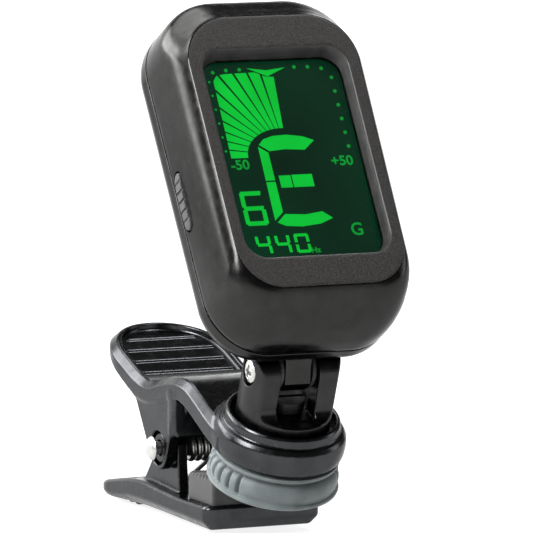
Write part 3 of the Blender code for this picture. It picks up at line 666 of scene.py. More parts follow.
LOWER_LINE = smooth_line((
    (6.2, 0.0, 3.5), (11.0, 0.0, 3.4), (15.0, 0.05, 3.3), (20.0, 0.1, 3.45), (25.0, 0.15, 3.7),
    (29.0, 0.15, 3.85), (32.0, 0.1, 3.7), (35.0, 0.0, 3.35), (38.0, -0.1, 2.85), (41.0, -0.2, 2.3),
    (44.0, -0.25, 1.8), (47.5, -0.25, 1.3),
))
LOWER_HALF, LOWER_START, LOWER_END, LOWER_CORNER = 8.7, 6.2, 47.1, 6.2
DISH_RIM, DISH_DEPTH, DISH_START = 1.3, 0.6, 33.5
TRAY_Y, TRAY_HALF_X, TRAY_HALF_Y, TRAY_FLOOR = 26.3, 5.3, 7.7, 1.6
RIBS, RIB_START, RIB_PITCH, RIB_R, RIB_HALF = 4, 35.4, 2.3, 1.04, 6.6
LOWER_EAR_IN, LOWER_EAR_OUT = 5.6, 7.1
COLLAR_R, COLLAR_IN, COLLAR_OUT, PIN_HOLE_R = 2.05, 5.8, 8.6, 1.15
LOWER_EAR_FIELD = outline_field(
    [(19.0, 2.0)] + arc((PIN_Y, PIN_Z), 2.9, 180, 30) + [(32.0, 3.0), (32.0, 2.0)]
)


def lower_jaw_field(x, y, z):
    top, low = LOWER_LINE(y, 1), LOWER_LINE(y, 0)
    plan = plan_end(x, y, LOWER_HALF, LOWER_END, LOWER_CORNER)
    plan = round_max(plan, LOWER_START - y, 1.5)
    keel = 1.1 - 0.5 * np.clip((y - 34) / 6, 0, 1)
    body = chamfer_max(plan, (low - z) * LOWER_SLOPE, keel, 0.3)
    body = chamfer_max(body, (z - top) * LOWER_SLOPE, 0.35, 0.12)
    dish = round_max(plan + DISH_RIM, top - DISH_DEPTH - z, 0.3)
    dish = np.maximum(dish, DISH_START - y)
    body = round_max(body, -dish, 0.2)
    tray = np.maximum(rounded_box(x, y - TRAY_Y, TRAY_HALF_X, TRAY_HALF_Y, 0.8), TRAY_FLOOR - z)
    body = round_max(body, -tray, 0.2)
    for i in range(RIBS):
        rib = np.hypot(y - RIB_START - RIB_PITCH * i, np.minimum(z - 0.4, 0)) - RIB_R
        rib = round_max(np.maximum(rib, z - 1.2), np.abs(x) - RIB_HALF, 0.5)
        body = round_min(body, rib, 0.2)
    ear = round_max(LOWER_EAR_FIELD(y, z), slab(np.abs(x), LOWER_EAR_IN, LOWER_EAR_OUT), 0.2)
    body = round_min(body, ear, 0.4)
    across = np.hypot(y - PIN_Y, z - PIN_Z)
    collar = round_max(across - COLLAR_R, slab(np.abs(x), COLLAR_IN, COLLAR_OUT), 0.2)
    body = round_min(body, collar, 0.15)
    return round_max(body, PIN_HOLE_R - across, 0.1)


ready(
    shaped("lower_jaw_shell", CLIP, lower_jaw_field, (-8.9, 6.0, -0.9), (8.9, 47.3, 12.5), 0.18, 0.4),
    "lower_clip", "clip_black", "clip", replaces=["lower_jaw"],
)

BLOCK_FIELD = outline_field(((6.9, 3.25), (15.5, 3.25), (15.5, 7.1), (7.6, 8.1), (6.9, 7.8)))
BLOCK_HALF, GRIP_LOW, GRIP_PITCH, GRIP_DEPTH = 7.4, 6.6, 1.1, 0.12


def block_field(x, y, z):
    """A wedge of rubber with fine grip ribs across its top."""
    body = round_max(BLOCK_FIELD(y, z), np.abs(x) - BLOCK_HALF, 0.5)
    fade = np.clip((z - GRIP_LOW) * 2, 0, 1)
    ribs = GRIP_DEPTH * np.cos(2 * np.pi * y / GRIP_PITCH) * fade
    return body + ribs + GRIP_DEPTH * fade


ready(
    shaped("grip_pad_lower", CLIP, block_field, (-7.6, 6.7, 3.0), (7.6, 15.7, 8.3), 0.15, 0.3),
    "lower_clip", "dark_rubber", "block", replaces=["lower_pad"],
)

# ---- pin and spring

# radius and place along the pin
PIN_PROFILE = (
    (0.0, -10.3), (0.7, -10.28), (1.25, -10.18), (1.5, -10.02), (1.65, -9.8), (1.65, -9.65), (1.55, -9.6),
    (0.9, -9.6), (0.9, 10.1), (0.8, 10.2), (0.0, 10.2),
)
SLEEVE_PROFILE = ((1.0, -4.9), (1.25, -4.9), (1.35, -4.8), (1.35, 4.8), (1.25, 4.9), (1.0, 4.9))

ready(
    turned("pin_domed", CLIP, PIN_PROFILE, 64, axis="X", centre=(PIN_Y, PIN_Z)),
    "upper_clip", "bright_steel", "steel", replaces=["pivot_pin"],
)
ready(
    turned("pin_sleeve", CLIP, SLEEVE_PROFILE, 48, axis="X", centre=(PIN_Y, PIN_Z)),
    "upper_clip", "dark_rubber", "block",
)


def wire(name, place, path, radius):
    """A round wire along a path of points."""
    curve = bpy.data.curves.new(name, "CURVE")
    curve.dimensions = "3D"
    curve.bevel_depth = radius * MM
    curve.bevel_resolution = 4
    curve.use_fill_caps = True
    spline = curve.splines.new("POLY")
    spline.points.add(len(path) - 1)
    for point, at in zip(spline.points, to_world(place, np.array(path, float))):
        point.co = (*at, 1.0)
    made = linked(name, mesh_of(curve))
    face_out(made)
    made.data.shade_smooth()
    return made


WIRE_R, COIL_R, COIL_TURNS, COIL_IN, COIL_OUT = 0.4, 1.8, 3.5, 0.9, 4.4
LEG_END_Y, LEG_TOP_Z, LEG_LOW_Z, SPLIT = 32.0, 15.0, 2.6, 1.6


def spring_path(steps=28):
    """One wire: an upper leg, a coil, the lower legs, and the mirror of these."""
    half = [(COIL_OUT, LEG_END_Y, LEG_TOP_Z)]
    count = int(COIL_TURNS * steps)
    for i in range(count + 1):
        turn = math.radians(90 + 360 * COIL_TURNS * i / count)
        x = COIL_OUT + (COIL_IN - COIL_OUT) * i / count
        half.append((x, PIN_Y + COIL_R * math.cos(turn), PIN_Z + COIL_R * math.sin(turn)))
    half.append((COIL_IN, LEG_END_Y, LEG_LOW_Z))
    return half + [(-x, y, z) for x, y, z in reversed(half)]


def make_spring():
    """One wire for the spring, with its upper legs, coil and lower legs, left in the row frame and not attached
    to any body.
    """
    spring = wire("spring_wire", CLIP, spring_path(), WIRE_R)
    spring.data.materials.append(M["steel"])
    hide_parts("torsion_spring")
    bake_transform(spring)


make_spring()

# ---- yoke and tilt screw

TILT_Z = 6.75
YOKE_R, YOKE_LOW, YOKE_LIP, FORK_HALF, TILT_BORE_R = 6.55, -1.4, 1.0, 2.8, 1.25
SINK_R, SINK_FLOOR = 2.95, 0.7
SEAT_R, SEAT_X, NUT_SEAT_R, NUT_SEAT_X = 1.95, -5.3, 2.25, 4.55


def yoke_side():
    """The ears' outline, seen along the tilt axis."""
    top, ear_r, flat, fillet, reach = 9.35, 2.6, 3.5, 1.5, 8.2
    right = [(reach, YOKE_LOW), (reach, YOKE_LIP)]
    right += arc((flat + fillet, YOKE_LIP + fillet), fillet, 270, 180)
    right += arc((flat - ear_r, top - ear_r), ear_r, 0, 90)
    return right + [(-y, z) for y, z in reversed(right)]


YOKE_FIELD = outline_field(yoke_side())


def yoke_field(x, y, z):
    radius = np.hypot(x, y)
    body = round_max(radius - YOKE_R, YOKE_FIELD(y, z), 0.3)
    body = round_max(body, YOKE_LOW - z, 0.2)
    slot = round_max(np.abs(x) - FORK_HALF, YOKE_LIP - z, 0.2)
    body = round_max(body, -slot, 0.3)
    tilt = np.hypot(y, z - TILT_Z)
    body = round_max(body, -np.maximum(radius - SINK_R, SINK_FLOOR - z), 0.12)
    body = np.maximum(body, SWIVEL_BORE_R - radius)
    body = np.maximum(body, TILT_BORE_R - tilt)
    body = round_max(body, -np.maximum(tilt - SEAT_R, x - SEAT_X), 0.16)
    return round_max(body, -np.maximum(tilt - NUT_SEAT_R, NUT_SEAT_X - x), 0.16)


ready(
    shaped("yoke_fork", SWIVEL, yoke_field, (-6.8, -6.8, -1.5), (6.8, 6.8, 9.5), 0.13, 0.35),
    "swivel_yoke", "casing_black", "yoke", replaces=["yoke"],
)


def tilt_screw_field(x, y, z):
    """A domed head with a cross recess that narrows inwards, and its shank."""
    v = z - TILT_Z
    radius = np.hypot(y, v)
    dome_x, dome_r, head_r, head_in, shank_r, recess_in = 3.1, 3.42, 1.65, 5.45, 1.0, 5.85
    dome = np.sqrt((x + dome_x) ** 2 + radius**2) - dome_r
    head = round_max(round_max(radius - head_r, dome, 0.12), x + head_in, 0.05)
    shank = np.maximum(radius - shank_r, slab(x, -6.0, 6.2))
    inwards = np.clip(x + 6.5, 0, 1)
    narrow, long = 0.30 - 0.10 * inwards, 1.0 - 0.5 * inwards
    upright = np.maximum(np.abs(y) - narrow, np.abs(v) - long)
    level = np.maximum(np.abs(v) - narrow, np.abs(y) - long)
    cross = np.minimum(upright, level)
    body = np.minimum(head, shank)
    return round_max(body, -np.maximum(cross, x + recess_in), 0.05)


ready(
    shaped("tilt_screw_cross", SWIVEL, tilt_screw_field, (-6.6, -1.8, 4.9), (6.3, 1.8, 8.6), 0.07, 0.35),
    "swivel_yoke", "bright_steel", "steel", replaces=["hinge_screw"],
)

# ---- head shells

PARTING_Y, FACE_Y, REAR_Y = -7.2, -17.5, -2.9
HEAD_LOW, HEAD_HIGH, HEAD_TAPER, HEAD_HALF = -1.0, 49.5, 0.042, 14.58
HEAD_CREASE = 32
# half width, low end, high end and corner radius
WINDOW = (10.75, 8.8, 40.0, 3.0)


def outline(half, low, high, radius, top_radius, steps=14):
    """A rounded rectangle in the head's plane."""
    right, top_right = half - radius, half - top_radius
    points = arc((right, low + radius), radius, -90, 0, steps)
    points += arc((top_right, high - top_radius), top_radius, 0, 90, steps)
    points += arc((-half + top_radius, high - top_radius), top_radius, 90, 180, steps)
    points += arc((-half + radius, low + radius), radius, 180, 270, steps)
    return np.array(points)


def ring_at(y, half, low, high, radius, tapered=1.0, top_radius=None):
    """One ring of the head at a depth, narrower lower down where it is tapered."""
    flat = outline(half, low, high, radius, top_radius or radius)
    narrow = 1 - tapered * HEAD_TAPER * (HEAD_HIGH - flat[:, 1]) / (HEAD_HIGH - HEAD_LOW)
    return np.stack([flat[:, 0] * narrow, np.full(len(flat), y), flat[:, 1]], axis=1)


# the outside from the parting line to the face: length along it, y, half width, low, high, two radii
SIDE_LINE = smooth_line((
    (0.0, -7.35, 14.58, -1.0, 49.5, 8.5, 8.7), (3.1, -10.5, 14.5, -0.7, 49.5, 7.9, 8.8),
    (6.0, -13.3, 14.25, 0.3, 49.3, 7.2, 8.9), (8.8, -15.9, 13.72, 2.3, 46.7, 6.2, 8.5),
    (10.2, -17.0, 13.15, 3.5, 45.5, 6.0, 7.8), (11.1, -17.42, 12.82, 4.15, 45.05, 6.1, 7.1),
))
# y, half width, low, high, corner radius, upper corner radius
EDGE_RINGS = (
    (-7.35, 13.25, 0.4, 48.1, 7.1, 7.1), (-7.35, HEAD_HALF - 0.14, -0.86, 49.36, 8.36, 8.76),
    (-7.42, HEAD_HALF - 0.03, -0.97, 49.47, 8.47, 8.87),
)
FACE_RINGS = (
    (-17.47, 12.72, 4.28, 44.92, 6.12, 7.1), (-17.5, 12.64, 4.36, 44.84, 6.04, 7.0),
    (-17.5, 12.3, 4.7, 44.5, 5.7, 6.6),
)
INNER_RINGS = (
    (-16.3, 11.9, 5.2, 44.0, 5.6, 5.6), (-15.2, 12.5, 3.6, 45.4, 6.4, 6.4),
    (-13.3, 13.0, 1.8, 47.6, 6.9, 6.9), (-10.5, 13.2, 0.7, 48.0, 7.0, 7.0),
)
# y, and how far each side of the window and its corner radius grow there
WINDOW_RINGS = (
    (FACE_Y, 0.6, 0.6, 0.6, 0.6), (FACE_Y, 0.22, 0.2, 0.25, 0.22), (FACE_Y + 0.04, 0.12, 0.1, 0.14, 0.12),
    (FACE_Y + 0.16, 0.03, 0.0, 0.03, 0.0), (-16.4, -0.16, -0.1, -0.35, 0.0),
    (-15.45, -0.34, -0.16, -0.72, 0.0), (-15.0, -0.36, -0.18, -0.74, 0.0),
    (-15.0, 0.5, 0.5, 0.5, 0.5), (-16.2, 0.6, 0.6, 0.6, 0.6),
)


def casing_rings():
    """The front shell as a loop of rings: edge, side, face, window and back along the inside."""
    rings = list(EDGE_RINGS)
    for s in np.concatenate([np.linspace(0.12, 6.0, 12), np.linspace(6.3, 11.1, 22)]):
        rings.append([float(SIDE_LINE(s, column)) for column in range(6)])
    rings += FACE_RINGS
    half, low, high, radius = WINDOW
    window = [ring_at(y, half + a, low - b, high + c, radius + d, 0.0) for y, a, b, c, d in WINDOW_RINGS]
    return [ring_at(*row[:5], 1.0, row[5]) for row in rings] + window + [
        ring_at(*row[:5], 1.0, row[5]) for row in INNER_RINGS
    ]


def carve(target, cutter_mesh):
    """Takes a closed cutter out of a piece."""
    cutter = linked("cutter", cutter_mesh)
    target.data = evaluated(target, "BOOLEAN", operation="DIFFERENCE", solver="EXACT", object=cutter)
    bpy.data.objects.remove(cutter)


BUTTON_Z, BUTTON_Y, BUTTON_HALF_Z, BUTTON_HALF_Y = 21.6, -8.9, 4.2, 0.9
BUTTON_OUT, BUTTON_IN = 14.6, 12.9


def button_slot(margin, x_low, x_high):
    """A closed prism along X round the button's outline."""
    radius = BUTTON_HALF_Y + margin
    reach = BUTTON_HALF_Z + margin - radius
    flat = arc((BUTTON_Y, BUTTON_Z + reach), radius, 0, 180)
    flat += arc((BUTTON_Y, BUTTON_Z - reach), radius, 180, 360)
    ends = [np.array([(x, y, z) for y, z in flat]) for x in (x_low, x_high)]
    made = ringed("slot_cutter", HEAD, ends, closed=False, capped=True)
    mesh = made.data
    bpy.data.objects.remove(made)
    return mesh


def make_casing():
    """The front shell, with its face and the window's walls in their own materials."""
    casing = ringed("casing_front_shell", HEAD, casing_rings(), sharp=HEAD_CREASE)
    carve(casing, button_slot(0.3, -17.0, -11.5))
    ready(casing, "head", "casing_black", "casing", "face", "recess", replaces=["front_casing"])
    origin, turn = HEAD
    half, low, high, _ = WINDOW
    for polygon in casing.data.polygons:
        x, y, z = (np.array(polygon.center) / MM - origin) @ turn
        in_window = abs(x) < half + 0.2 and low - 0.2 < z < high + 0.2
        polygon.material_index = 1 if y < FACE_Y + 0.02 else 2 if in_window else 0
    casing.data.shade_smooth()
    casing.data.set_sharp_from_angle(angle=math.radians(HEAD_CREASE))


make_casing()

POSTS = ((-8.0, 44.3), (8.0, 44.3), (-8.0, 5.0), (8.0, 5.0))
POST_R, POST_END_Y, SINK_HEAD_R, SINK_Y, POST_BORE_R = 2.6, -3.4, 1.9, -4.0, 1.05
SEAM, WALL, INSIDE_Y = 0.15, 1.4, -4.3
REAR_BEVEL, REAR_RAKE, RAKE_SLOPE = 1.55, 1.05, 0.69
LUG_HALF, DOOR_HOLE_R, DOOR_HOLE_Y = 2.0, 11.9, -6.0
BATTERY_Z = 25.0
LUG_FIELD = outline_field(arc((0.0, 0.0), 2.9, -110, 60) + [(-3.6, 8.6), (-3.6, 0.4)])


def head_plan(x, z):
    """Distance outside the tapered outline of the shells at the parting line."""
    narrow = 1 - HEAD_TAPER * (HEAD_HIGH - np.clip(z, HEAD_LOW, HEAD_HIGH)) / (HEAD_HIGH - HEAD_LOW)
    middle = (HEAD_HIGH + HEAD_LOW) / 2
    return rounded_box(x / narrow, z - middle, HEAD_HALF, (HEAD_HIGH - HEAD_LOW) / 2, 8.6) * 0.97


def rear_cover_field(x, y, z):
    plan = head_plan(x, z)
    slope = (plan + REAR_BEVEL + (y - REAR_Y) * REAR_RAKE) * RAKE_SLOPE
    outer = round_max(round_max(plan, y - REAR_Y, 1.0), slope, 1.0)
    outer = round_max(outer, PARTING_Y + SEAM - y, 0.12)
    inner = round_max(plan + WALL, y - INSIDE_Y, 1.0)
    body = np.maximum(outer, -inner)
    for at in POSTS:
        post = np.maximum(disc(x, z, at, POST_R), slab(y, PARTING_Y + SEAM, POST_END_Y))
        body = round_min(body, post, 0.2)
    lug = round_max(LUG_FIELD(y, z), np.abs(x) - LUG_HALF, 0.25)
    body = round_min(body, lug, 0.35)
    door = disc(x, z, (0.0, BATTERY_Z), DOOR_HOLE_R)
    body = round_max(body, -np.maximum(door, DOOR_HOLE_Y - y), 0.15)
    for at in POSTS:
        sink = np.maximum(disc(x, z, at, SINK_HEAD_R), SINK_Y - y)
        body = round_max(body, -sink, 0.15)
        body = np.maximum(body, -disc(x, z, at, POST_BORE_R))
    return np.maximum(body, TILT_BORE_R - np.hypot(y, z))


ready(
    shaped("casing_rear_shell", HEAD, rear_cover_field, (-14.8, -7.4, -3.1), (14.8, 3.1, 49.7), 0.2, 0.4),
    "head", "casing_black", "casing", replaces=["rear_cover"],
)


DOOR_R, DOOR_BACK_Y, DOOR_RIM_Y, LUG_Y, LUG_AT, LUG_R = 11.6, -4.3, -5.3, -4.6, 11.4, 0.9


def door_field(x, y, z):
    """A round cap with a coin slot, a ring groove, fine notches and three bayonet lugs."""
    away = disc(x, z, (0.0, BATTERY_Z), DOOR_R)
    body = round_max(away, slab(y, DOOR_BACK_Y, REAR_Y), 0.25)
    radius = away + DOOR_R
    rim = np.maximum(slab(radius, 10.4, 11.3), slab(y, DOOR_RIM_Y, -4.2))
    body = np.minimum(body, rim)
    slot = np.maximum(rounded_box(x, z - BATTERY_Z, 5.0, 0.75, 0.74), -3.6 - y)
    body = round_max(body, -slot, 0.15)
    ring = round_max(slab(radius, 8.2, 8.7), -3.05 - y, 0.05)
    body = round_max(body, -ring, 0.06)
    turns = np.arctan2(z - BATTERY_Z, x)
    for i in range(3):
        turn = math.radians(90 + 120 * i)
        lug = disc(x, z, (LUG_AT * math.cos(turn), BATTERY_Z + LUG_AT * math.sin(turn)), LUG_R)
        body = np.minimum(body, np.maximum(lug, slab(y, DOOR_RIM_Y, LUG_Y)))
    notches = 0.1 * np.clip(np.cos(turns * 36) - 0.5, 0, 1)
    return body + notches * np.clip(radius - 9.4, 0, 1) * np.clip((y + 3.3) * 3, 0, 1)


ready(
    shaped("battery_cap", HEAD, door_field, (-12.6, -5.5, 12.6), (12.6, -2.8, 37.7), 0.16, 0.25),
    "door", "casing_black", "casing", replaces=["battery_door"],
)

# ---- the power button


def button_field(x, y, z):
    """A long button with cross grooves, on a stem with a flange behind it."""
    u, v = y - BUTTON_Y, z - BUTTON_Z
    across = rounded_box(u, v, BUTTON_HALF_Y, BUTTON_HALF_Z, 0.85)
    crown = -BUTTON_OUT - x + 0.25 * (v / BUTTON_HALF_Z) ** 2
    body = round_max(across, np.maximum(crown, x + BUTTON_IN), 0.2)
    for i in range(5):
        gap = np.maximum(np.abs(v - (i - 2) * 1.4) - 0.16, x + 14.35)
        body = round_max(body, -gap, 0.06)
    flange = np.maximum(rounded_box(u, v, 1.3, 4.2, 0.3), slab(x, -12.5, -12.1))
    stem = np.maximum(rounded_box(u, v, 0.5, 3.0, 0.1), slab(x, -13.3, -12.0))
    return np.minimum(body, np.minimum(flange, stem))


ready(
    shaped("button_ribbed", HEAD, button_field, (-14.8, -10.4, 17.2), (-11.9, -7.4, 26.0), 0.07, 0.35),
    "button", "casing_black", "block", replaces=["power_button"],
)

# ---- the display

GLASS_Y, INK_Y, INK_BACK = -15.55, -14.90, -14.84


def flat_prism(name, outlines, front, back):
    """Flat shapes in the head's plane, each given a small thickness."""
    points, faces = [], []
    for shape in outlines:
        shape = np.array(shape, float)
        first = len(points)
        count = len(shape)
        points += [(u, front, v) for u, v in shape] + [(u, back, v) for u, v in shape]
        faces.append(range(first, first + count))
        faces.append(range(first + 2 * count - 1, first + count - 1, -1))
        for i in range(count):
            j = (i + 1) % count
            faces.append([first + i, first + count + i, first + count + j, first + j])
    made = linked(name, mesh_from(name, to_world(HEAD, np.array(points)), faces))
    face_out(made)
    return made


def lens_rings():
    half, low, high, radius = 10.55, 9.0, 39.5, 2.9
    sizes = ((-15.05, 0.0), (-15.45, 0.0), (GLASS_Y + 0.03, 0.03), (GLASS_Y, 0.1))
    return [ring_at(y, half - inset, low + inset, high - inset, radius - inset, 0.0) for y, inset in sizes]


ready(
    ringed("window_sheet", HEAD, lens_rings(), closed=False, capped=True),
    "head", "clear_lens", "lens", replaces=["window_lens"],
)

FAN_CENTRE, FAN_COUNT, FAN_TURN, FAN_GAP = (-0.2, 24.9), 11, 93.4, math.radians(0.8)
FAN_HOLE = (5.9, 4.25)
FAN_EDGE = (
    (0.7, 36.9), (-0.7, 37.0), (-2.2, 37.7), (-6.6, 37.6), (-7.9, 37.4), (-8.5, 36.6), (-8.6, 24.8),
    (-8.6, 20.0),
)


def fan_reach(turn):
    """Where a ray from the fan's centre meets its outer edge."""
    dx, dz = math.cos(turn), math.sin(turn)
    best = 30.0
    for (x0, z0), (x1, z1) in zip(FAN_EDGE, FAN_EDGE[1:]):
        ex, ez = x1 - x0, z1 - z0
        cross = dx * ez - dz * ex
        if abs(cross) < 1e-9:
            continue
        ax, az = x0 - FAN_CENTRE[0], z0 - FAN_CENTRE[1]
        reach = (ax * ez - az * ex) / cross
        share = (ax * dz - az * dx) / cross
        if reach > 0 and -0.001 <= share <= 1.001:
            best = min(best, reach)
    return best


def fan_point(turn, reach):
    return (FAN_CENTRE[0] + reach * math.cos(turn), FAN_CENTRE[1] + reach * math.sin(turn))


def fan_wedges():
    """The pointer's fan, split by thin dark rays."""
    wedges = []
    for i in range(FAN_COUNT):
        start = math.radians(180 - FAN_TURN * i / FAN_COUNT) - FAN_GAP * (i > 0)
        end = math.radians(180 - FAN_TURN * (i + 1) / FAN_COUNT) + FAN_GAP * (i < FAN_COUNT - 1)
        turns = np.linspace(start, end, 9)
        outer = [fan_point(t, fan_reach(t)) for t in turns]
        hole = [1 / math.hypot(math.cos(t) / FAN_HOLE[0], math.sin(t) / FAN_HOLE[1]) for t in turns]
        inner = [fan_point(t, near) for t, near in zip(turns, hole)]
        wedges.append(outer + inner[::-1])
    return wedges


NOTE_LETTER = (
    [(-4.1, 26.75), (-2.75, 25.75), (-0.4, 25.95), (2.5, 25.75), (4.15, 27.1),
     (2.6, 27.75), (0.3, 28.1), (-1.8, 28.0), (-3.3, 27.55)],
    [(-4.35, 21.35), (-4.3, 26.45), (-3.0, 25.5), (-3.0, 21.35)],
    [(-4.4, 15.35), (-4.35, 21.1), (-3.0, 21.1), (-3.0, 16.55)],
    [(-4.1, 15.05), (-2.75, 16.25), (0.2, 16.05), (2.8, 16.4), (4.15, 15.35), (2.2, 14.6), (-0.6, 14.3),
     (-3.0, 14.5)],
    [(-2.3, 20.2), (-2.3, 22.0), (-0.6, 22.0), (-0.6, 20.2)],
    [(-0.4, 20.2), (-0.4, 22.05), (2.6, 22.05), (2.6, 20.2)],
)
DIGIT_BARS = {"0": "abcdef", "4": "bcfg", "6": "acdefg"}


def seven_bars(text, left, low, width, height, t, pitch, lean=0.0):
    """Seven-bar digits from left to right, with bars of thickness t."""
    shapes = []
    g, middle = 0.05, height / 2
    rows = {"a": height - t, "g": middle - t / 2, "d": 0.0}
    for place, letter in enumerate(text):
        x0 = left + place * pitch
        for bar in DIGIT_BARS[letter]:
            if bar in rows:
                z0, near, far = rows[bar], g + t * 0.4, g + t * 0.2
                shape = [(near, z0), (width - g - t * 0.4, z0), (width - g - t * 0.2, z0 + t), (far, z0 + t)]
            else:
                u0 = 0.0 if bar in "ef" else width - t
                v0, v1 = (g, middle - g) if bar in "ce" else (middle + g, height - g)
                v0, v1 = v0 + t * 0.3, v1 - t * 0.3
                shape = [(u0, v0), (u0 + t, v0), (u0 + t, v1), (u0, v1)]
            shapes.append([(x0 + u + lean * v, low + v) for u, v in shape])
    return shapes


def dot(x, z, radius):
    return arc((x, z), radius, 0, 345, 15)


def dots():
    """The scale's dots, over the window's top and down its sides."""
    top = ((-8.3, 37.9), (-6.3, 38.15), (-4.3, 38.2), (3.9, 38.3), (5.9, 38.25), (7.9, 37.95))
    shapes = [dot(x, z, 0.26) for x, z in top]
    for i in range(6):
        z = 36.5 - 2.1 * i
        shapes += [dot(9.1, z, 0.26), dot(-9.15, z, 0.17)]
    return shapes


def make_segments():
    """Everything lit on the display: generic readings only."""
    pointer = [[(-3.1, 38.35), (-0.4, 37.95), (2.5, 38.3), (-0.35, 37.05)]]
    lit = fan_wedges() + list(NOTE_LETTER) + pointer
    lit += seven_bars("6", -8.75, 14.75, 3.35, 5.1, 0.62, 4.0)
    lit += seven_bars("440", -7.95, 10.4, 2.15, 2.85, 0.42, 2.85, -0.02)
    ready(flat_prism("segments_bright", lit, INK_Y, INK_BACK), "head", "lcd_glass", "lit")
    ready(flat_prism("segments_dots", dots(), INK_Y, INK_BACK), "head", "lcd_glass", "dim")


def make_text(name, body, left, low, size, width):
    """Plain scale markings, as flat letters in the display."""
    curve = bpy.data.curves.new(name, "FONT")
    curve.body = body
    curve.size = size
    curve.offset = 0.035
    curve.extrude = 0.03
    mesh = mesh_of(curve)
    flat = np.array([v.co for v in mesh.vertices])
    span = flat[:, 0].max() - flat[:, 0].min()
    u = left + (flat[:, 0] - flat[:, 0].min()) * width / span
    v = low + flat[:, 1] - flat[:, 1].min()
    points = np.stack([u, (INK_Y + INK_BACK) / 2 - flat[:, 2], v], axis=1)
    mesh.vertices.foreach_set("co", to_world(HEAD, points).ravel())
    made = linked(name, mesh)
    face_out(made)
    ready(made, "head", "lcd_glass", "dim")


make_segments()
make_text("mark_flat", "-50", -8.9, 23.15, 2.0, 2.7)
make_text("mark_sharp", "+50", 6.0, 23.15, 2.0, 3.2)
make_text("mark_key", "G", 6.45, 12.6, 2.6, 1.65)
make_text("mark_hertz", "Hz", -0.15, 10.35, 1.05, 1.4)

# ---- CAD nodes that stay

KEPT = {
    "steel": (
        "pin_retainer", "hinge_nut", "case_screw_top_left", "case_screw_top_right", "case_screw_low_left",
        "case_screw_low_right", "button_switch", "coin_battery",
    ),
    # painted shade: the washers get the dark nylon, which stands in for the shade round the hinge and the
    # swivel
    "nylon": ("friction_washer_left", "friction_washer_right", "swivel_washer"),
    "oxide": ("swivel_screw", "spring_washer", "swivel_nut"),
    "brass": ("vibration_pickup", "negative_contact", "positive_contact"),
    "lcd": ("lcd_panel",),
    "tray": ("backlight_tray",),
    "board": ("circuit_board",),
    "casing": ("battery_holder",),
}


def keep(node, material):
    """A CAD node that is shown as it is, in its own material and with softened edges."""
    made = frame["nodes"][node]
    made.data.materials.clear()
    made.data.materials.append(material)
    edge = made.modifiers.new("edge", "BEVEL")
    edge.width = 0.07 * MM
    edge.segments = 2
    edge.limit_method = "ANGLE"
    edge.angle_limit = math.radians(40)


for finish, kept in KEPT.items():
    for kept_node in kept:
        keep(kept_node, M[finish])

# ---- camera, floor and light


CAMERA_ANGLES = (24.47, 7.12, 0.27)
CAMERA_DISTANCE, CAMERA_ASIDE, CAMERA_ABOVE, CAMERA_LENS = 900.0, -2.23, 36.67, 445.6


def camera_vectors():
    """The camera's axes: to its right, up, and back from the object."""
    turn, rise, roll = [math.radians(angle) for angle in CAMERA_ANGLES]
    back = Vector((-math.sin(turn) * math.cos(rise), -math.cos(turn) * math.cos(rise), math.sin(rise)))
    right = Vector((math.cos(turn), -math.sin(turn), 0.0))
    up = Vector((math.sin(turn) * math.sin(rise), math.cos(turn) * math.sin(rise), math.cos(rise)))
    tilted_right = math.cos(roll) * right + math.sin(roll) * up
    tilted_up = math.cos(roll) * up - math.sin(roll) * right
    return tilted_right, tilted_up, back


def make_camera():
    right, up, back = camera_vectors()
    at = Vector(CLIP[0]) + CAMERA_ASIDE * right + CAMERA_ABOVE * up + CAMERA_DISTANCE * back
    data = bpy.data.cameras.new("camera")
    data.sensor_width = 36.0
    data.lens = CAMERA_LENS
    data.clip_end = 20.0
    camera = linked("camera", data)
    camera.matrix_world = Matrix.Translation(at * MM) @ Matrix((right, up, back)).transposed().to_4x4()
    bpy.context.scene.camera = camera


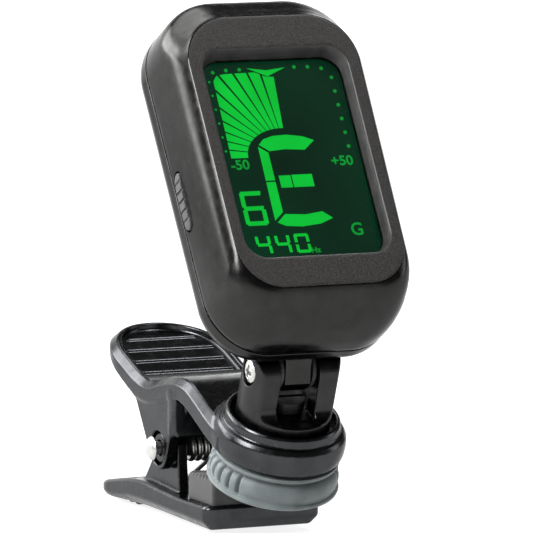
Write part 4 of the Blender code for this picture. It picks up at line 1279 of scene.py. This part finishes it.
def white_sheet(name, corners, glow):
    """A plain white sheet of the studio, bright enough to stay white in the picture."""
    sheet = linked(name, mesh_from(name, np.array(corners), [(0, 1, 2, 3)]))
    paint = bpy.data.materials.new(name)
    paint.use_nodes = True
    shader = paint.node_tree.nodes["Principled BSDF"]
    shader.inputs["Base Color"].default_value = (0.3, 0.3, 0.3, 1.0)
    shader.inputs["Roughness"].default_value = 0.9
    shader.inputs["Emission Color"].default_value = (1.0, 1.0, 1.0, 1.0)
    shader.inputs["Emission Strength"].default_value = glow
    sheet.data.materials.append(paint)


def make_studio():
    """A floor just under the object and a backdrop that leans away behind it."""
    low = CAD_BOX[0].z - 0.0003
    half, back, height, lean = 1.2, 0.7, 0.42, 0.1
    seam = [(-half, back, low), (half, back, low)]
    top = [(half, back + lean, low + height), (-half, back + lean, low + height)]
    white_sheet("floor", [(-half, -half, low), (half, -half, low)] + seam[::-1], 0.85)
    white_sheet("backdrop", seam + top, 1.8)


def soft_light(name, aim, direction, distance, size, power):
    """A softbox in millimetres that faces a point on the object."""
    data = bpy.data.lights.new(name, "AREA")
    data.shape = "RECTANGLE"
    data.size, data.size_y = size[0] * MM, size[1] * MM
    data.energy = power
    lamp = linked(name, data)
    towards = Vector(direction).normalized()
    lamp.location = (Vector(aim) + towards * distance) * MM
    lamp.rotation_mode = "QUATERNION"
    lamp.rotation_quaternion = towards.to_track_quat("Z", "Y")
    data.cycles.is_caustics_light = False


def make_lights():
    """Softboxes, most of them behind and to the left, for the gloss on the bevels."""
    middle = (0.0, 0.0, 30.0)
    soft_light("left_box", middle, (-0.80, -0.22, 0.56), 330, (110, 240), 2.2)
    soft_light("top_box", middle, (-0.1, 0.75, 1.0), 380, (240, 120), 0.5)
    soft_light("shoulder_box", middle, (-0.6, 0.4, 0.65), 360, (200, 160), 0.3)
    soft_light("corner_box", middle, (-0.52, 0.68, 0.46), 360, (200, 140), 1.2)
    soft_light("rim_box", middle, (-0.82, 0.52, 0.24), 360, (120, 120), 0.4)
    soft_light("right_box", middle, (1.0, -0.15, 0.25), 420, (120, 240), 0.25)
    soft_light("crown_box", middle, (0.45, 0.05, 1.0), 380, (110, 80), 0.6)
    world = bpy.data.worlds.new("studio")
    world.use_nodes = True
    sky = world.node_tree.nodes["Background"].inputs
    sky["Color"].default_value = (1.0, 1.0, 1.0, 1.0)
    sky["Strength"].default_value = 0.1
    bpy.context.scene.world = world


make_camera()
make_studio()
make_lights()
bpy.context.scene.view_settings.view_transform = "Standard"
